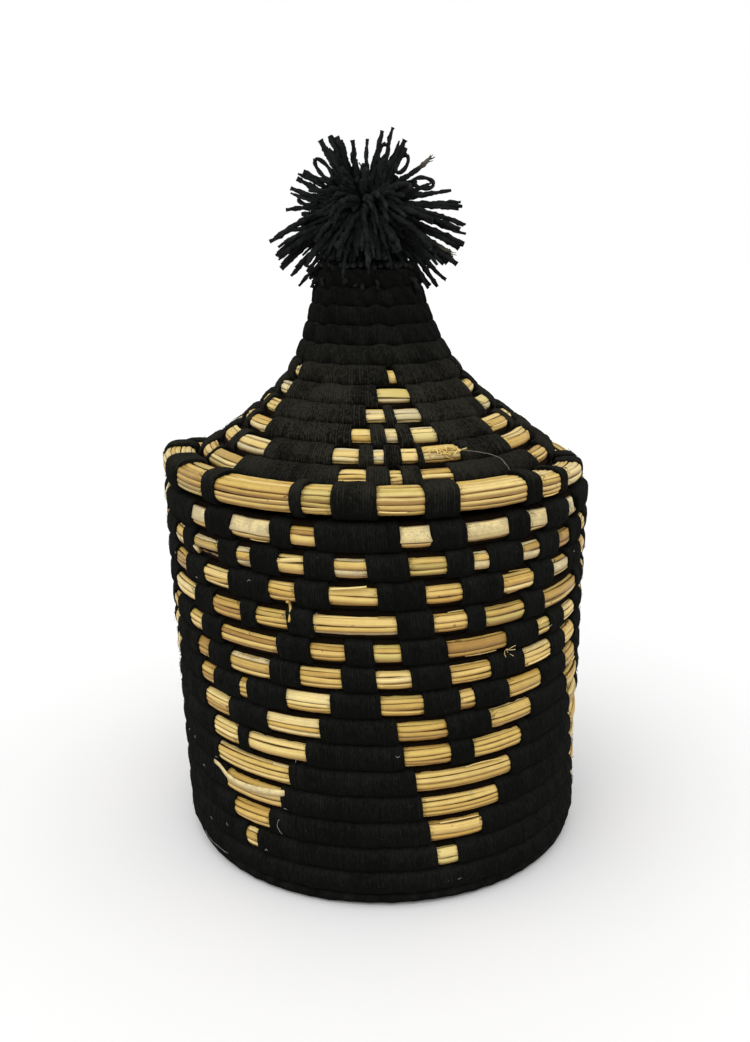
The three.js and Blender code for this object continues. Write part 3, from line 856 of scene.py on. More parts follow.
def lay_slivers(skin, coil, first, last, sizes, rng, above):
    """Thin splinters of straw across the reeds"""
    length = coil.round_trip(first) * (last - first)
    for _ in range(rng.poisson(sizes.slivers * length / SLIVER_WINDOW)):
        reach = rng.uniform(*SLIVER_REACHES) * (last - first)
        start = rng.uniform(first, last - reach)
        turns = np.linspace(start, start + reach, SLIVER_POINTS)
        tall, deep = coil.girth(turns)
        drift = np.linspace(-1, 1, SLIVER_POINTS)
        angle = rng.uniform(-SLIVER_ANGLE, SLIVER_ANGLE) + rng.normal(0, SLIVER_SLANT) * drift
        out, up = rounded(angle)
        lift = rng.uniform(0, SLIVER_LIFT) + SLIVER_BOW * np.sin(np.linspace(0, 3, SLIVER_POINTS))
        thick = rng.uniform(*SLIVER_RADII)
        out, up = out * (deep - REED_INSET + REED_BULGE + lift), up * (tall - above + lift)
        rings = thin_tubes(coil, turns, out, up, thick, SLIVER_SIDES)
        lay_fibre(skin, rings, rng.uniform(*SLIVER_TONES), rng, hue=0.5)


def windows_in_turns(coil, rows):
    """Windows as pairs of places on the coil, in order, from degrees by row"""
    pairs = [
        (coil.turns_at(row, high), coil.turns_at(row, low))
        for row, windows in rows.items()
        for low, high in windows
    ]
    merged = []
    for first, last in sorted(pairs):
        if merged and first <= merged[-1][1] + MERGED_GAP:
            merged[-1] = (merged[-1][0], max(last, merged[-1][1]))
        else:
            merged.append((first, last))
    return merged


def motif_windows(halves, axis):
    """The mirrored, repeating motif's windows whose middles lie in one turn of the coil"""
    found = set()
    for repeat in range(-6, 7):
        centre = axis + MOTIF_REPEAT * repeat
        for near, far in halves:
            for pair in ((centre + near, centre + far), (centre - far, centre - near)):
                if near == 0:
                    pair = (centre - far, centre + far)
                if far == MOTIF_REPEAT / 2:
                    side = 1 if pair[1] > centre else -1
                    edge = centre + side * MOTIF_REPEAT / 2
                    pair = (edge - (far - near), edge + (far - near))
                if FRONT_FROM_START - 360 <= (pair[0] + pair[1]) / 2 < FRONT_FROM_START:
                    found.add((round(pair[0], 3), round(pair[1], 3)))
    return sorted(found)


def row_windows(front, halves, axis, wobble, rng):
    """A row's windows in degrees: the front's as they are, and the motif's elsewhere"""
    low, high = front[0][0] - WINDOW_CLEAR, front[-1][1] + WINDOW_CLEAR
    behind = [
        (a + rng.normal(0, wobble), b + rng.normal(0, wobble))
        for a, b in motif_windows(halves, axis)
        if b < low or a > high
    ]
    return sorted([*front, *behind])


def wall_windows(rng):
    """Windows of every wall row, counted from the bottom"""
    rows = {}
    for down, halves in WALL_MOTIF.items():
        axis = WALL_MOTIF_AXIS + WALL_MOTIF_DRIFT * (WALL_MIDDLE_ROW - down)
        rows[WALL_ROWS - down] = row_windows(FRONT_WINDOWS[down], halves, axis, WALL_WOBBLE, rng)
    return rows


def cone_windows(rng):
    """Windows of the lid's lower rows, counted from the rim"""
    rows = {}
    for row, halves in CONE_MOTIF.items():
        axis = CONE_MOTIF_AXIS + CONE_MOTIF_DRIFT * row
        rows[row] = row_windows(CONE_FRONT_WINDOWS[row], halves, axis, CONE_WOBBLE, rng)
    return rows


class Signal:
    """A socket that carries one number, so that shader maths reads as an expression"""

    def __init__(self, look, socket):
        self.look = look
        self.socket = socket

    def maths(self, operation, *values):
        made = self.look.node("ShaderNodeMath", {"operation": operation}, dict(enumerate(values)))
        return Signal(self.look, made.outputs[0])

    def __add__(self, other):
        return self.maths("ADD", self, other)

    __radd__ = __add__

    def __sub__(self, other):
        return self.maths("SUBTRACT", self, other)

    def __rsub__(self, other):
        return self.maths("SUBTRACT", other, self)

    def __mul__(self, other):
        return self.maths("MULTIPLY", self, other)

    __rmul__ = __mul__

    def between(self, low, high):
        """1 between two soft steps"""
        return self.above(*low) * (1 - self.above(*high))

    def above(self, edge, softness):
        """0 below an edge and 1 over it, with a soft step between"""
        return self.look.number(
            "ShaderNodeMapRange",
            {"interpolation_type": "SMOOTHSTEP"},
            {"Value": self, "From Min": edge - softness, "From Max": edge + softness},
        )


class Look:
    """A procedural material, or world, in the making"""

    def __init__(self, owner):
        self.owner = owner
        owner.use_nodes = True
        self.tree = owner.node_tree
        self.tree.nodes.clear()

    def feed(self, socket, value):
        """Links a socket to another, or sets its value"""
        if isinstance(value, Signal):
            value = value.socket
        if isinstance(value, bpy.types.NodeSocket):
            self.tree.links.new(value, socket)
        else:
            socket.default_value = (*value, 1) if socket.type == "RGBA" else value

    def node(self, kind, settings=None, inputs=None):
        """One node: its settings first, then the values or links of its sockets"""
        made = self.tree.nodes.new(kind)
        for key, value in (settings or {}).items():
            if key == "stops":
                ramp = made.color_ramp
                while len(ramp.elements) < len(value):
                    ramp.elements.new(0.5)
                for element, (position, colour) in zip(ramp.elements, value):
                    element.position = position
                    element.color = (*colour, 1)
            else:
                setattr(made, key, value)
        for key, value in (inputs or {}).items():
            self.feed(made.inputs[key], value)
        return made

    def number(self, kind, settings=None, inputs=None, output=0):
        return Signal(self, self.node(kind, settings, inputs).outputs[output])

    def mark(self, name):
        """A number that the mesh carries at its points"""
        return self.number("ShaderNodeAttribute", {"attribute_name": name}, output="Fac")

    def place(self):
        return self.node("ShaderNodeTexCoord").outputs["Object"]

    def upwards(self):
        """1 where the surface faces up, 0 where it is upright, -1 where it faces down"""
        normal = self.node("ShaderNodeNewGeometry").outputs["Normal"]
        return self.number("ShaderNodeSeparateXYZ", {}, {0: normal}, output=2)

    def height(self):
        """Height over the floor in the rest pose, in metres"""
        return self.number("ShaderNodeSeparateXYZ", {}, {0: self.place()}, output=2)

    def noise(self, vector, scale, detail=3.0, roughness=0.55):
        inputs = {"Vector": vector, "Scale": scale, "Detail": detail, "Roughness": roughness}
        return self.number("ShaderNodeTexNoise", {}, inputs)

    def mix(self, share, first, second, blend="MIX"):
        made = self.node("ShaderNodeMix", {"data_type": "RGBA", "blend_type": blend})
        values = {"Factor_Float": share, "A_Color": first, "B_Color": second}
        for socket in made.inputs:
            if socket.identifier in values:
                self.feed(socket, values[socket.identifier])
        return next(s for s in made.outputs if s.identifier == "Result_Color")

    def stretched(self, along, around, tone, along_scale, around_scale, tone_scale):
        """A place for noise that is drawn out along a reed and differs from reed to reed"""
        return self.node("ShaderNodeCombineXYZ", {}, {
            "X": along * along_scale, "Y": around * around_scale, "Z": tone * tone_scale,
        }).outputs[0]

    def finish(self, base, roughness, specular, relief=None, depth=FIBRE_RELIEF, strength=0.8):
        """The surface itself, with a relief of this depth"""
        inputs = {"Base Color": base, "Roughness": roughness, "Specular IOR Level": specular}
        if relief is not None:
            bump = {"Strength": strength, "Distance": depth, "Height": relief}
            inputs["Normal"] = self.node("ShaderNodeBump", {}, bump).outputs[0]
        shader = self.node("ShaderNodeBsdfPrincipled", {}, inputs)
        self.node("ShaderNodeOutputMaterial", {}, {"Surface": shader.outputs[0]})
        return self.owner


def new_look(name):
    return Look(bpy.data.materials.new(name))


def wool_look(name, colour, dust):
    """Black wool, fibrous and mottled: painted shade between its wraps and painted highlights on
    their crests, and painted light where it faces up and on the lid, where some dust lies too
    """
    look = new_look(name)
    place = look.place()
    crest = look.mark("crest")
    fibres = look.noise(place, 2300, 4, 0.65)
    patches = look.noise(place, 60, 3)
    lint = look.noise(place, 1100, 2)
    drawn = look.node("ShaderNodeVectorMath", {"operation": "MULTIPLY"}, {0: place, 1: (1, 1, 0.4)})
    mottle = look.noise(drawn.outputs[0], 1000, 3, 0.6)
    # crest: painted highlight on the wraps' crests and painted shade between them; the noises are
    # the wool's own fibres and mottling
    texture = crest * 0.45 + (fibres - 0.5) * 0.8 + (mottle - 0.5) * 1.3 + (patches - 0.5) * 0.8
    height = look.height()
    # Painted light: wool that faces up is lighter; the lid's mask also strengthens the texture
    # there
    lid = height.between(*LID_EDGES)
    share = texture * (1 + lid * 1.3) + look.upwards() * (0.5 - lid * 0.2) - lid * 0.04
    # The neck gets less of the lighter colour: the painted light fades there
    share = share - height.above(*NECK_EDGE) * 0.18
    # On the lid the lighter colour is paler still: partly dust, partly painted light
    dust_and_light_colour = look.mix(height.between(*DUST_AND_LIGHT_EDGES), dust, LID_DUST_AND_LIGHT)
    mixed = look.mix(share.above(0.5, 0.6), colour, dust_and_light_colour)
    specks = lint.above(0.76, 0.02) * fibres.above(0.5, 0.1)
    mixed = look.mix(specks * 0.3, mixed, WOOL_SPECK)
    return look.finish(mixed, WOOL_ROUGHNESS, 0.04, fibres + lint * 0.5 + crest * 0.4)


def straw_look(name, shadow, golden, light, pith):
    """Split reeds: grain along them, a tone of their own, pores and stains"""
    look = new_look(name)
    tone, along, around, hue, edge = map(look.mark, ("tone", "along", "around", "hue", "edge"))
    grain = look.noise(look.stretched(along, around, tone, 28, 2400, 91), 1.0, 4, 0.6)
    lines = look.noise(look.stretched(along, around, tone, 14, 5200, 57), 1.0, 2)
    place = look.place()
    blotches = look.noise(place, 240, 3)
    pores = look.noise(place, 1700, 2, 0.5)
    height = look.height()
    high = height.above(*CONE_EDGE)
    # high * 0.22: painted light, the lid's upward-facing straw lighter
    shade = tone * 0.82 + (grain - 0.5) * 0.42 + (blotches - 0.5) * 0.26 + 0.05 + high * 0.22
    stops = [(0.0, shadow), (0.34, golden), (0.66, light), (0.9, pith)]
    base = look.node("ShaderNodeValToRGB", {"stops": stops}, {"Fac": shade}).outputs[0]
    skin = 1 - tone.above(PITH_TONE, 0.05)
    warm = (1 - hue.above(0.38, 0.16)) * skin
    base = look.mix(warm * 0.5, base, STRAW_WARMTH, "MULTIPLY")
    green = hue.above(0.80, 0.06) * skin
    base = look.mix(green * 0.42, base, STRAW_GREEN)
    base = look.mix(lines.above(0.60, 0.06) * 0.6, base, STRAW_LINES, "MULTIPLY")
    stained = blotches.above(0.68, 0.04) * (1 - hue.above(0.4, 0.1))
    base = look.mix(stained * 0.8, base, STRAW_STAIN)
    # Painted shade at the reeds' sides and undersides, weaker on the lid
    edge_shade = edge.above(0.90, 0.10)
    base = look.mix(edge_shade * (0.9 - high * 0.3), base, STRAW_EDGE_SHADE)
    # Painted shade: straw that faces down is darker, most towards the rim's bottom
    rim = height.above(*RIM_EDGE) * (1 - high)
    below = (rim * 0.5 - look.upwards()).above(0.22, 0.5)
    base = look.mix(below * 0.85, base, STRAW_UNDERSIDE_SHADE, "MULTIPLY")
    spongy = tone.above(PITH_TONE, 0.06)
    dots = pores.above(0.64, 0.05) * spongy
    base = look.mix(dots * 0.6, base, PITH_PORES)
    worn = blotches.above(0.52, 0.08) * spongy
    base = look.mix(worn * 0.45, base, PITH_WORN)
    roughness = 0.36 + 0.25 * blotches + 0.2 * spongy
    relief = grain * 0.6 + lines * 0.5 - dots * 0.6
    return look.finish(base, roughness, 0.45, relief, GRAIN_RELIEF)


def core_shade_look(name, colour):
    """Chopped straw deep in the bundle, near black as painted shade between the reeds"""
    look = new_look(name)
    fibres = look.noise(look.place(), 900, 3)
    base = look.mix(fibres, [c * 0.4 for c in colour], colour)
    return look.finish(base, WOOL_ROUGHNESS, 0.05, fibres, CORE_RELIEF, 0.9)


def lint_look(name, colour):
    """Pale fluff that clings to the wool"""
    look = new_look(name)
    base = look.mix(look.noise(look.place(), 700, 2), [c * 0.5 for c in colour], colour)
    return look.finish(base, WOOL_ROUGHNESS, 0.1)


def yarn_look(name, colour, dust, tip):
    """Thick pompom yarn, with worn tips"""
    look = new_look(name)
    place = look.place()
    reach = look.mark("reach")
    tone = look.mark("tone")
    fibres = look.noise(place, 2200, 4, 0.7)
    wisps = look.noise(place, 130, 3)
    share = (fibres - 0.5) * 1.2 + (wisps - 0.5) * 1.4 + 0.1
    mixed = look.mix(share.above(0.3, 0.4), colour, dust)
    worn = reach.above(0.86, 0.08) * tone.above(0.975, 0.01) * fibres.above(0.42, 0.1)
    return look.finish(look.mix(worn * 0.8, mixed, tip), WOOL_ROUGHNESS, 0.06, fibres)


def wall_coil():
    rise = WALL_HIGH.z - WALL_LOW.z
    height = rise / WALL_ROWS
    foot = widest("wall_coil", WALL_LOW.z, WALL_LOW.z + height / 2) - WALL_DEPTH / 2
    mouth = WALL_HIGH.x - WALL_DEPTH / 2
    path = Path([(foot, WALL_LOW.z + height / 2), (mouth, WALL_HIGH.z - height / 2)])
    return Coil(WALL_ROWS, height, WALL_DEPTH, path)


def cone_coil():
    start = (CONE_HIGH.x - CONE_FIRST_REACH, RIM_MIDDLE + CONE_START_OVER_RIM)
    end = (NECK_RADIUS, start[1] + CONE_RISE)
    path = Path(flaring_curve(start, CONE_START_PULL, end, CONE_END_PULL))
    last = CONE_ROWS - 1
    height = (path.length - CONE_TOP_SETBACK + CONE_THINNING * last**2 / 2) / last
    return Coil(CONE_ROWS, height, CONE_DEPTH, path, thinning=CONE_THINNING)


def upright_coil(low, high, depth, points, dips=False):
    """A single row that fills a CAD box"""
    middle = high.x - depth / 2
    centre = (low.z + high.z) / 2
    path = Path([(middle, centre), (middle, centre + 0.001)])
    return Coil(1, high.z - low.z, depth, path, points=points, dips=dips)


def base_coil():
    width = (BASE_HIGH.x - BASE_EYE_RADIUS) / BASE_ROWS
    centre = (BASE_LOW.z + BASE_HIGH.z) / 2
    path = Path([(BASE_EYE_RADIUS + width / 2, centre), (BASE_HIGH.x - width / 2, centre)])
    clear = 2 * (WOOL_SWELL + VALLEY_DEPTH + WOOL_UNEVENNESS * 3)
    return Coil(BASE_ROWS, width, BASE_HIGH.z - BASE_LOW.z - clear, path)


def build_coil(scene, rng, name, coil, rows, body, node, shares, hairy=True):
    """Wraps, reeds and core of one coil as up to three pieces that stand for its CAD node"""
    sizes, looks = scene.basket_coils, looks_of(scene)
    wool, straw, core = Skin(), Skin(), Skin()
    windows = windows_in_turns(coil, rows)
    places = [(max(a, coil.start), min(b, coil.end)) for a, b in windows]
    edges = [coil.start, *[x for pair in places for x in pair], coil.end]
    bands = [(a, b) for a, b in zip(edges[::2], edges[1::2]) if b - a > LEAST_BAND]
    for first, last in bands:
        wrap(wool, coil, first, last, sizes.wrap_width, rng)
    if hairy:
        add_hairs(wool, coil, bands, rng)
    wool.piece(f"{name}_wool", body, looks["wool"], [node], "wool_wrapped_straw")
    for first, last in places:
        row = coil.rows - int(max(first, 0))
        lay_reeds(straw, coil, first, last, sizes, rng, shares(row))
    if places:
        lay_core(core, coil, rng, coil.start + CORE_SETBACK, coil.end - CORE_SETBACK)
        straw.piece(f"{name}_straw", body, looks["straw"], [node])
        core.piece(f"{name}_core", body, looks["core"], [node])


def twisted(points, radius, rng, twist=0.006, sides=8, flatness=0.72, tip=1.0):
    """Rings of a two-ply yarn along these points"""
    points = np.asarray(points)
    ways = np.gradient(points, axis=0)
    ways /= np.linalg.norm(ways, axis=1)[:, None]
    helper = (0.0, 0.0, 1.0) if abs(ways[:, 2]).mean() < 0.8 else (1.0, 0.0, 0.0)
    side = np.cross(ways, helper)
    side /= np.linalg.norm(side, axis=1)[:, None]
    up = np.cross(side, ways)
    steps = np.linalg.norm(np.diff(points, axis=0), axis=1)
    run = np.concatenate([[0], np.cumsum(steps)])
    turn = math.pi * run / twist + rng.random() * 6
    theta = angles_round(sides)[None, :]
    a, b = np.cos(theta), np.sin(theta) * flatness
    c, s = np.cos(turn)[:, None], np.sin(turn)[:, None]
    size = np.full(len(points), radius) * (1 + (tip - 1) * np.linspace(0, 1, len(points)) ** 4)
    x, y = (a * c - b * s) * size[:, None], (a * s + b * c) * size[:, None]
    return points[:, None, :] + side[:, None, :] * x[..., None] + up[:, None, :] * y[..., None]


def wound_ring(low, high, inner, yarn, loops, rng):
    """Yarn wound round and round a ring that fills a CAD box but for a bore"""
    skin = Skin()
    middle, reach = (inner + high.x) / 2, (high.x - inner) / 2 - yarn
    centre, rise = (low.z + high.z) / 2, (high.z - low.z) / 2 - yarn
    s = np.linspace(0, 1, loops * RING_STEPS)
    angle = math.tau * s * RING_TURNS
    cross = math.tau * s * loops
    r = middle + reach * np.cos(cross)
    height = centre + rise * np.sin(cross)
    points = np.stack([r * np.cos(angle), r * np.sin(angle), height], axis=-1)
    skin.tube(twisted(points, yarn, rng, sides=WOUND_SIDES), tone=0.3, reach=0.0)
    return skin


def wound_ball(centre, radius, rise, yarn, loops, rng):
    """Yarn wound into a small ball or cushion"""
    skin = Skin()
    s = np.linspace(0, 1, loops * BALL_STEPS)
    around = math.tau * s * loops
    tilt = math.tau * s * BALL_TILTS
    swirl = math.tau * s * BALL_SWIRLS
    side, ahead = np.cos(around), np.sin(around) * np.cos(tilt)
    x = (side * np.cos(swirl) - ahead * np.sin(swirl)) * (radius - yarn)
    y = (side * np.sin(swirl) + ahead * np.cos(swirl)) * (radius - yarn)
    z = np.sin(around) * np.sin(tilt) * (rise - yarn) + centre
    points = np.stack([x, y, z], axis=-1)
    skin.tube(twisted(points, yarn, rng, sides=WOUND_SIDES), tone=0.3, reach=0.0)
    return skin


def neck_outline():
    """Outer radius of the neck by height, to drape strands over"""
    coil = cone_coil()
    rows = np.arange(CONE_ROWS)
    radius, height, *_ = coil.path.at(coil.along(rows))
    deep = coil.depth / 2 * np.sqrt(coil.half(rows) / coil.half(0))
    return height, radius + deep


def reach_towards(angle):
    """How far the pompom's outline reaches at a bearing from its heart, in the picture's plane"""
    bearings, reaches = zip(*sorted((a % 360, r) for a, r, _ in OUTLINE_STRANDS))
    return np.interp(np.degrees(angle) % 360, bearings, reaches, period=360)


def strand_points(way, length, sag, rng, heart):
    """A yarn strand from the pompom's heart that bends on its way out; it sags at its end, or
    rises in its middle where sag is negative"""
    s = np.linspace(0, 1, STRAND_POINTS)
    across = np.cross(way, (0.3, 0.2, 1.0))
    across /= np.linalg.norm(across)
    above = np.cross(across, way)
    bend = rng.normal(0, STRAND_BENDS[int(sag > 0)], 2)
    ripple = rng.normal(0, STRAND_RIPPLE, 2)
    phase = rng.uniform(0, math.tau, 2)
    side, rise = (
        bend[k] * s**2 + ripple[k] * np.sin(STRAND_WAVES * s + phase[k]) for k in (0, 1)
    )
    points = heart + length * (way * s[:, None] + across * side[:, None] + above * rise[:, None])
    if sag < 0:
        points[:, 2] -= sag * length * np.sin(math.pi * s)
    else:
        points[:, 2] -= sag * length * s**SAG_POWER
    return points


def direction(tilt, turn):
    """A way of length one, tilted up from level and turned round the basket"""
    return np.array([
        math.cos(tilt) * math.cos(turn), math.cos(tilt) * math.sin(turn), math.sin(tilt)
    ])


def in_picture(bearing, depth=0.0):
    """A way at a bearing in the picture's plane"""
    return np.array([math.cos(bearing), depth, math.sin(bearing)])


def outline_strands(rng):
    """The strands seen against the background, each with fellows close to it"""
    for degrees, reach, fellows in OUTLINE_STRANDS:
        angle = math.radians(degrees)
        sideways = abs(math.cos(angle)) > 0.7 and math.sin(angle) < 0.3
        arch = -OUTLINE_ARCH if sideways else 0.0
        tone = 1.0 if degrees == WORN_STRAND else 0.5
        yield in_picture(angle), reach, arch, OUTLINE_RADIUS, tone
        for turned in rng.normal(0, OUTLINE_SPREAD, fellows):
            way = in_picture(angle + turned, rng.normal(0, OUTLINE_DEPTH))
            reached = reach * rng.uniform(*FELLOW_REACHES)
            yield way / np.linalg.norm(way), reached, arch, OUTLINE_RADIUS, rng.random()


def even_strands(sizes, rng):
    """Strands spread evenly over the pompom, then drawn together in clumps"""
    low = math.sin(LOWEST_TILT)
    centres = rng.normal(0, 1, (sizes.clumps, 3))
    centres /= np.linalg.norm(centres, axis=1)[:, None]
    for i in range(sizes.strands):
        tilt = math.asin(low + (1 - low) * (i + 0.5) / sizes.strands)
        way = direction(tilt, GOLDEN_TURN * i)
        near = centres[np.argmax(centres @ way)]
        way = way + near * sizes.clumping * rng.uniform(*CLUMP_PULLS)
        way /= np.linalg.norm(way)
        whole = 1 / math.sqrt(
            (way[0] / sizes.half_width) ** 2
            + (way[1] / sizes.half_width) ** 2
            + (way[2] / sizes.half_height) ** 2
        )
        flat = max(math.hypot(way[0], way[2]), LEAST_FLAT)
        seen = reach_towards(math.atan2(way[2], way[0])) * rng.uniform(*SEEN_REACHES) / flat
        share = LEAST_LENGTH + (1 - LEAST_LENGTH) * rng.beta(*LENGTH_SPREAD)
        length = min(whole * share, seen)
        front = max(-way[1], 0)
        length *= 1 - FRONT_SHORTER * front**2
        length *= 1 - SKIRT_SHORTER * front * (way[2] < SKIRT_WAY)
        sag = (EVEN_SAG + FRONT_SAG * front**2) * rng.uniform(*EVEN_SAGS)
        yield way, length, sag, sizes.yarn_radius, rng.random()


def filling_strands(sizes, rng):
    """The skirt over the neck, and short thick strands that close the middle"""
    for count, tilts, reaches, radius in (
        (SKIRT_STRANDS, SKIRT_TILTS, SKIRT_REACHES, sizes.yarn_radius),
        (STUFFING_STRANDS, STUFFING_TILTS, STUFFING_REACHES, STUFFING_RADIUS),
    ):
        for i in range(count):
            way = direction(rng.uniform(*tilts), GOLDEN_TURN * i)
            sag = FILLING_SAG + FRONT_SAG * max(-way[1], 0) ** 2 * (way[2] > SKIRT_WAY)
            yield way, rng.uniform(*reaches), sag, radius, 0.5 * rng.random()


def pompom_strands(sizes, rng):
    """Ways, lengths, sags, radii and tones of all strands"""
    return [*outline_strands(rng), *even_strands(sizes, rng), *filling_strands(sizes, rng)]


def loop_points(heart, bearing, distance, half_length, half_width, lying):
    """A narrow ring of yarn in the picture's plane, a little out of it at its ends"""
    s = np.linspace(0, math.tau, LOOP_POINTS)[:, None]
    bearing, lying = math.radians(bearing), math.radians(lying)
    middle = heart + distance * in_picture(bearing)
    along = in_picture(lying, 0.3)
    across = np.array([-math.sin(lying), 0, math.cos(lying)])
    return middle + half_length * np.cos(s) * along + half_width * np.sin(s) * across


def draped(points, radius, neck_height, neck_radius):
    """The same strand, pushed outwards where it would run through the neck"""
    limit = np.interp(points[:, 2], neck_height, neck_radius, right=0) + radius
    spread = np.hypot(points[:, 0], points[:, 1])
    near = points[:, 2] < neck_height[-1] + DRAPE_HEIGHT
    grow = np.where(near, np.maximum(limit / np.maximum(spread, 1e-5), 1), 1)
    points[:, :2] *= np.minimum(grow, 3)[:, None]
    return points


def add_pompom(sizes, looks, rng):
    """Four tufts of thick yarn, each standing for its CAD tuft"""
    heart = np.array([HEART_SHIFT, 0, POMPOM_MIDDLE + HEART_RISE])
    neck_height, neck_radius = neck_outline()
    tufts = [Skin() for _ in TUFT_NAMES]
    for way, length, sag, radius, tone in pompom_strands(sizes, rng):
        radius *= rng.uniform(*STRAND_RADII)
        centre = heart if sag <= 0 else heart + (0, 0, INNER_RISE)
        points = strand_points(way, length, sag, rng, centre)
        points = draped(points, radius, neck_height, neck_radius)
        tuft = tufts[int(np.clip(np.searchsorted(TUFT_EDGES, math.asin(way[2])) - 1, 0, 3))]
        rings = twisted(points, radius, rng, sides=STRAND_SIDES, tip=rng.choice(STRAND_TIPS))
        middle = rings.mean(axis=1, keepdims=True)
        shaggy = 1 + rng.normal(0, STRAND_SHAG, rings.shape[:2])[..., None]
        rings = middle + (rings - middle) * shaggy
        tuft.tube(rings, tone=tone, reach=np.linspace(0, 1, len(points))[:, None])
        if rng.random() < sizes.frayed:
            fray(tuft, points, radius, rng)
    for loop in YARN_LOOPS:
        tuft = tufts[2 + (math.sin(math.radians(loop[0])) > 0.5)]
        rings = twisted(loop_points(heart, *loop), LOOP_RADIUS, rng, sides=STRAND_SIDES)
        tuft.tube(rings, tone=0.5, reach=np.linspace(0.6, 0.8, LOOP_POINTS)[:, None])
    for turn in angles_round(SPLAYED_ENDS):
        end = neck_radius[-1] * rng.uniform(*SPLAYED_REACHES)
        spread = np.linspace(SPLAYED_START, end, SPLAYED_POINTS)
        rise = neck_height[-1] + np.linspace(*SPLAYED_RISE, SPLAYED_POINTS)
        rise = rise + rng.uniform(0, SPLAYED_LIFT)
        points = np.stack([math.cos(turn) * spread, math.sin(turn) * spread, rise], axis=-1)
        rings = twisted(points, STUFFING_RADIUS, rng, sides=STRAND_SIDES, tip=0.6)
        reach = np.linspace(0, 0.4, SPLAYED_POINTS)[:, None]
        tufts[0].tube(rings, tone=SPLAYED_TONE * rng.random(), reach=reach)
    for number, (skin, word) in enumerate(zip(tufts, TUFT_NAMES), start=1):
        node = f"pompom_tuft_{number}"
        skin.piece(f"pompom_{word}_strands", "lid", looks["yarn"], [node], "yarn")


def fray(skin, points, radius, rng):
    """Loose fibres past a strand's cut end"""
    way = points[-1] - points[-3]
    way /= np.linalg.norm(way)
    for _ in range(FRAY_FIBRES):
        aim = way + rng.normal(0, FRAY_SPREAD, 3)
        reach = rng.uniform(*FRAY_REACHES)
        start = points[-1] + rng.normal(0, radius * 0.4, 3) - way * FRAY_INSET
        line = start + aim * (np.linspace(0, 1, 4) * reach)[:, None]
        skin.tube(twisted(line, FRAY_RADIUS, rng, sides=4, tip=0.5), tone=0.5, reach=1.0)


def spot(coil, row, degrees, up, lift):
    """A point on a coil's outside: up from -1 to 1 over the row, lift in mm off it"""
    turns = np.array(coil.turns_at(row, degrees))
    tall, deep = coil.girth(turns)
    out = (1 - min(abs(up), 1) ** SQUARENESS) ** (1 / SQUARENESS)
    return coil.place(turns, out * deep + lift / 1000, up * tall)


def smooth_line(spots, samples):
    """Points of the smooth line through up to five points"""
    knots = np.linspace(0, 1, len(spots))
    s = np.linspace(0, 1, samples)
    fits = np.polyfit(knots, np.array(spots), len(spots) - 1)
    return np.stack([np.polyval(fits[:, k], s) for k in range(3)], axis=-1)


def wall_spots(wall, places):
    """Points on the wall's outside, where places count rows down from the rim"""
    return [spot(wall, WALL_ROWS - row, *rest) for row, *rest in places]


def add_loose_straws(looks, rng):
    """Splinters and a bent stub that stand off the wall and the lid"""
    wall, cone = wall_coil(), cone_coil()
    skin = Skin()
    for thick, flatness, tone, places in LOOSE_STRAWS:
        line = smooth_line(wall_spots(wall, places), 12)
        rings = twisted(line, thick, rng, twist=0.5, flatness=flatness, tip=0.8)
        lay_fibre(skin, rings, tone, rng)
    skin.piece("wall_loose_straws", "basket", looks["straw"], ["wall_coil"])
    burst = Skin()
    row, degrees, up, lift = FRAYED_PLACE
    for _ in range(FRAYED_FIBRES):
        start = degrees + rng.uniform(*FRAYED_STARTS)
        ends = [spot(cone, row, start, up + rng.uniform(-0.5, 0.5), lift)]
        side = start + rng.normal(0, 1.5)
        ends.append(spot(cone, row, side, up + rng.uniform(-0.4, 0.4), lift + 0.5))
        side = start + rng.normal(0, 2.5)
        end_up = up + rng.uniform(-0.6, 0.6)
        ends.append(spot(cone, row, side, end_up, lift + rng.uniform(0, 0.7)))
        line = smooth_line(ends, 8)
        rings = twisted(line, rng.uniform(*FRAYED_RADII), rng, twist=0.5, sides=5, tip=0.4)
        lay_fibre(burst, rings, rng.uniform(*FRAYED_TONES), rng)
    burst.piece("lid_frayed_straws", "lid", looks["straw"], ["lid_coil"])


def add_lint(looks, rng):
    """A thread on the lid and pale fluff here and there"""
    wall, cone = wall_coil(), cone_coil()
    thread, fluff = Skin(), Skin()

    def lay(skin, line, ripple=0.0):
        if ripple:
            line += rng.normal(0, ripple, line.shape)
        skin.tube(twisted(line, LINT_RADIUS, rng, sides=LINT_SIDES))

    for places in LID_THREADS:
        lay(thread, smooth_line([spot(cone, *place) for place in places], 40), THREAD_RIPPLE)
    thread.piece("lid_thread_lint", "lid", looks["lint"], ["lid_coil"])
    for places in WALL_THREADS:
        lay(fluff, smooth_line(wall_spots(wall, places), 24), FLUFF_RIPPLE)
    for _ in range(SPECKS):
        row = int(rng.integers(*SPECK_ROWS))
        degrees, up = rng.uniform(-180, 180), rng.uniform(*SPECK_UPS)
        places = [(row, degrees + step, up + rng.normal(0, 0.1), 0.5) for step in SPECK_STEPS]
        lay(fluff, smooth_line(wall_spots(wall, places), 5))
    fluff.piece("wall_fluff_lint", "basket", looks["lint"], ["wall_coil"])


def length_setting(name, description, default, low, high):
    return bpy.props.FloatProperty(
        name=name, description=description, default=default,
        min=low, max=high, unit="LENGTH", precision=5,
    )


def share_setting(name, description, default, low=0.0, high=1.0):
    return bpy.props.FloatProperty(
        name=name, description=description, default=default,
        min=low, max=high, subtype="FACTOR",
    )


def count_setting(name, description, default, low, high):
    return bpy.props.IntProperty(
        name=name, description=description, default=default, min=low, max=high
    )


def colour_setting(name, description, default):
    return bpy.props.FloatVectorProperty(
        name=name, description=description, default=default,
        subtype="COLOR", size=3, min=0.0, max=1.0,
    )


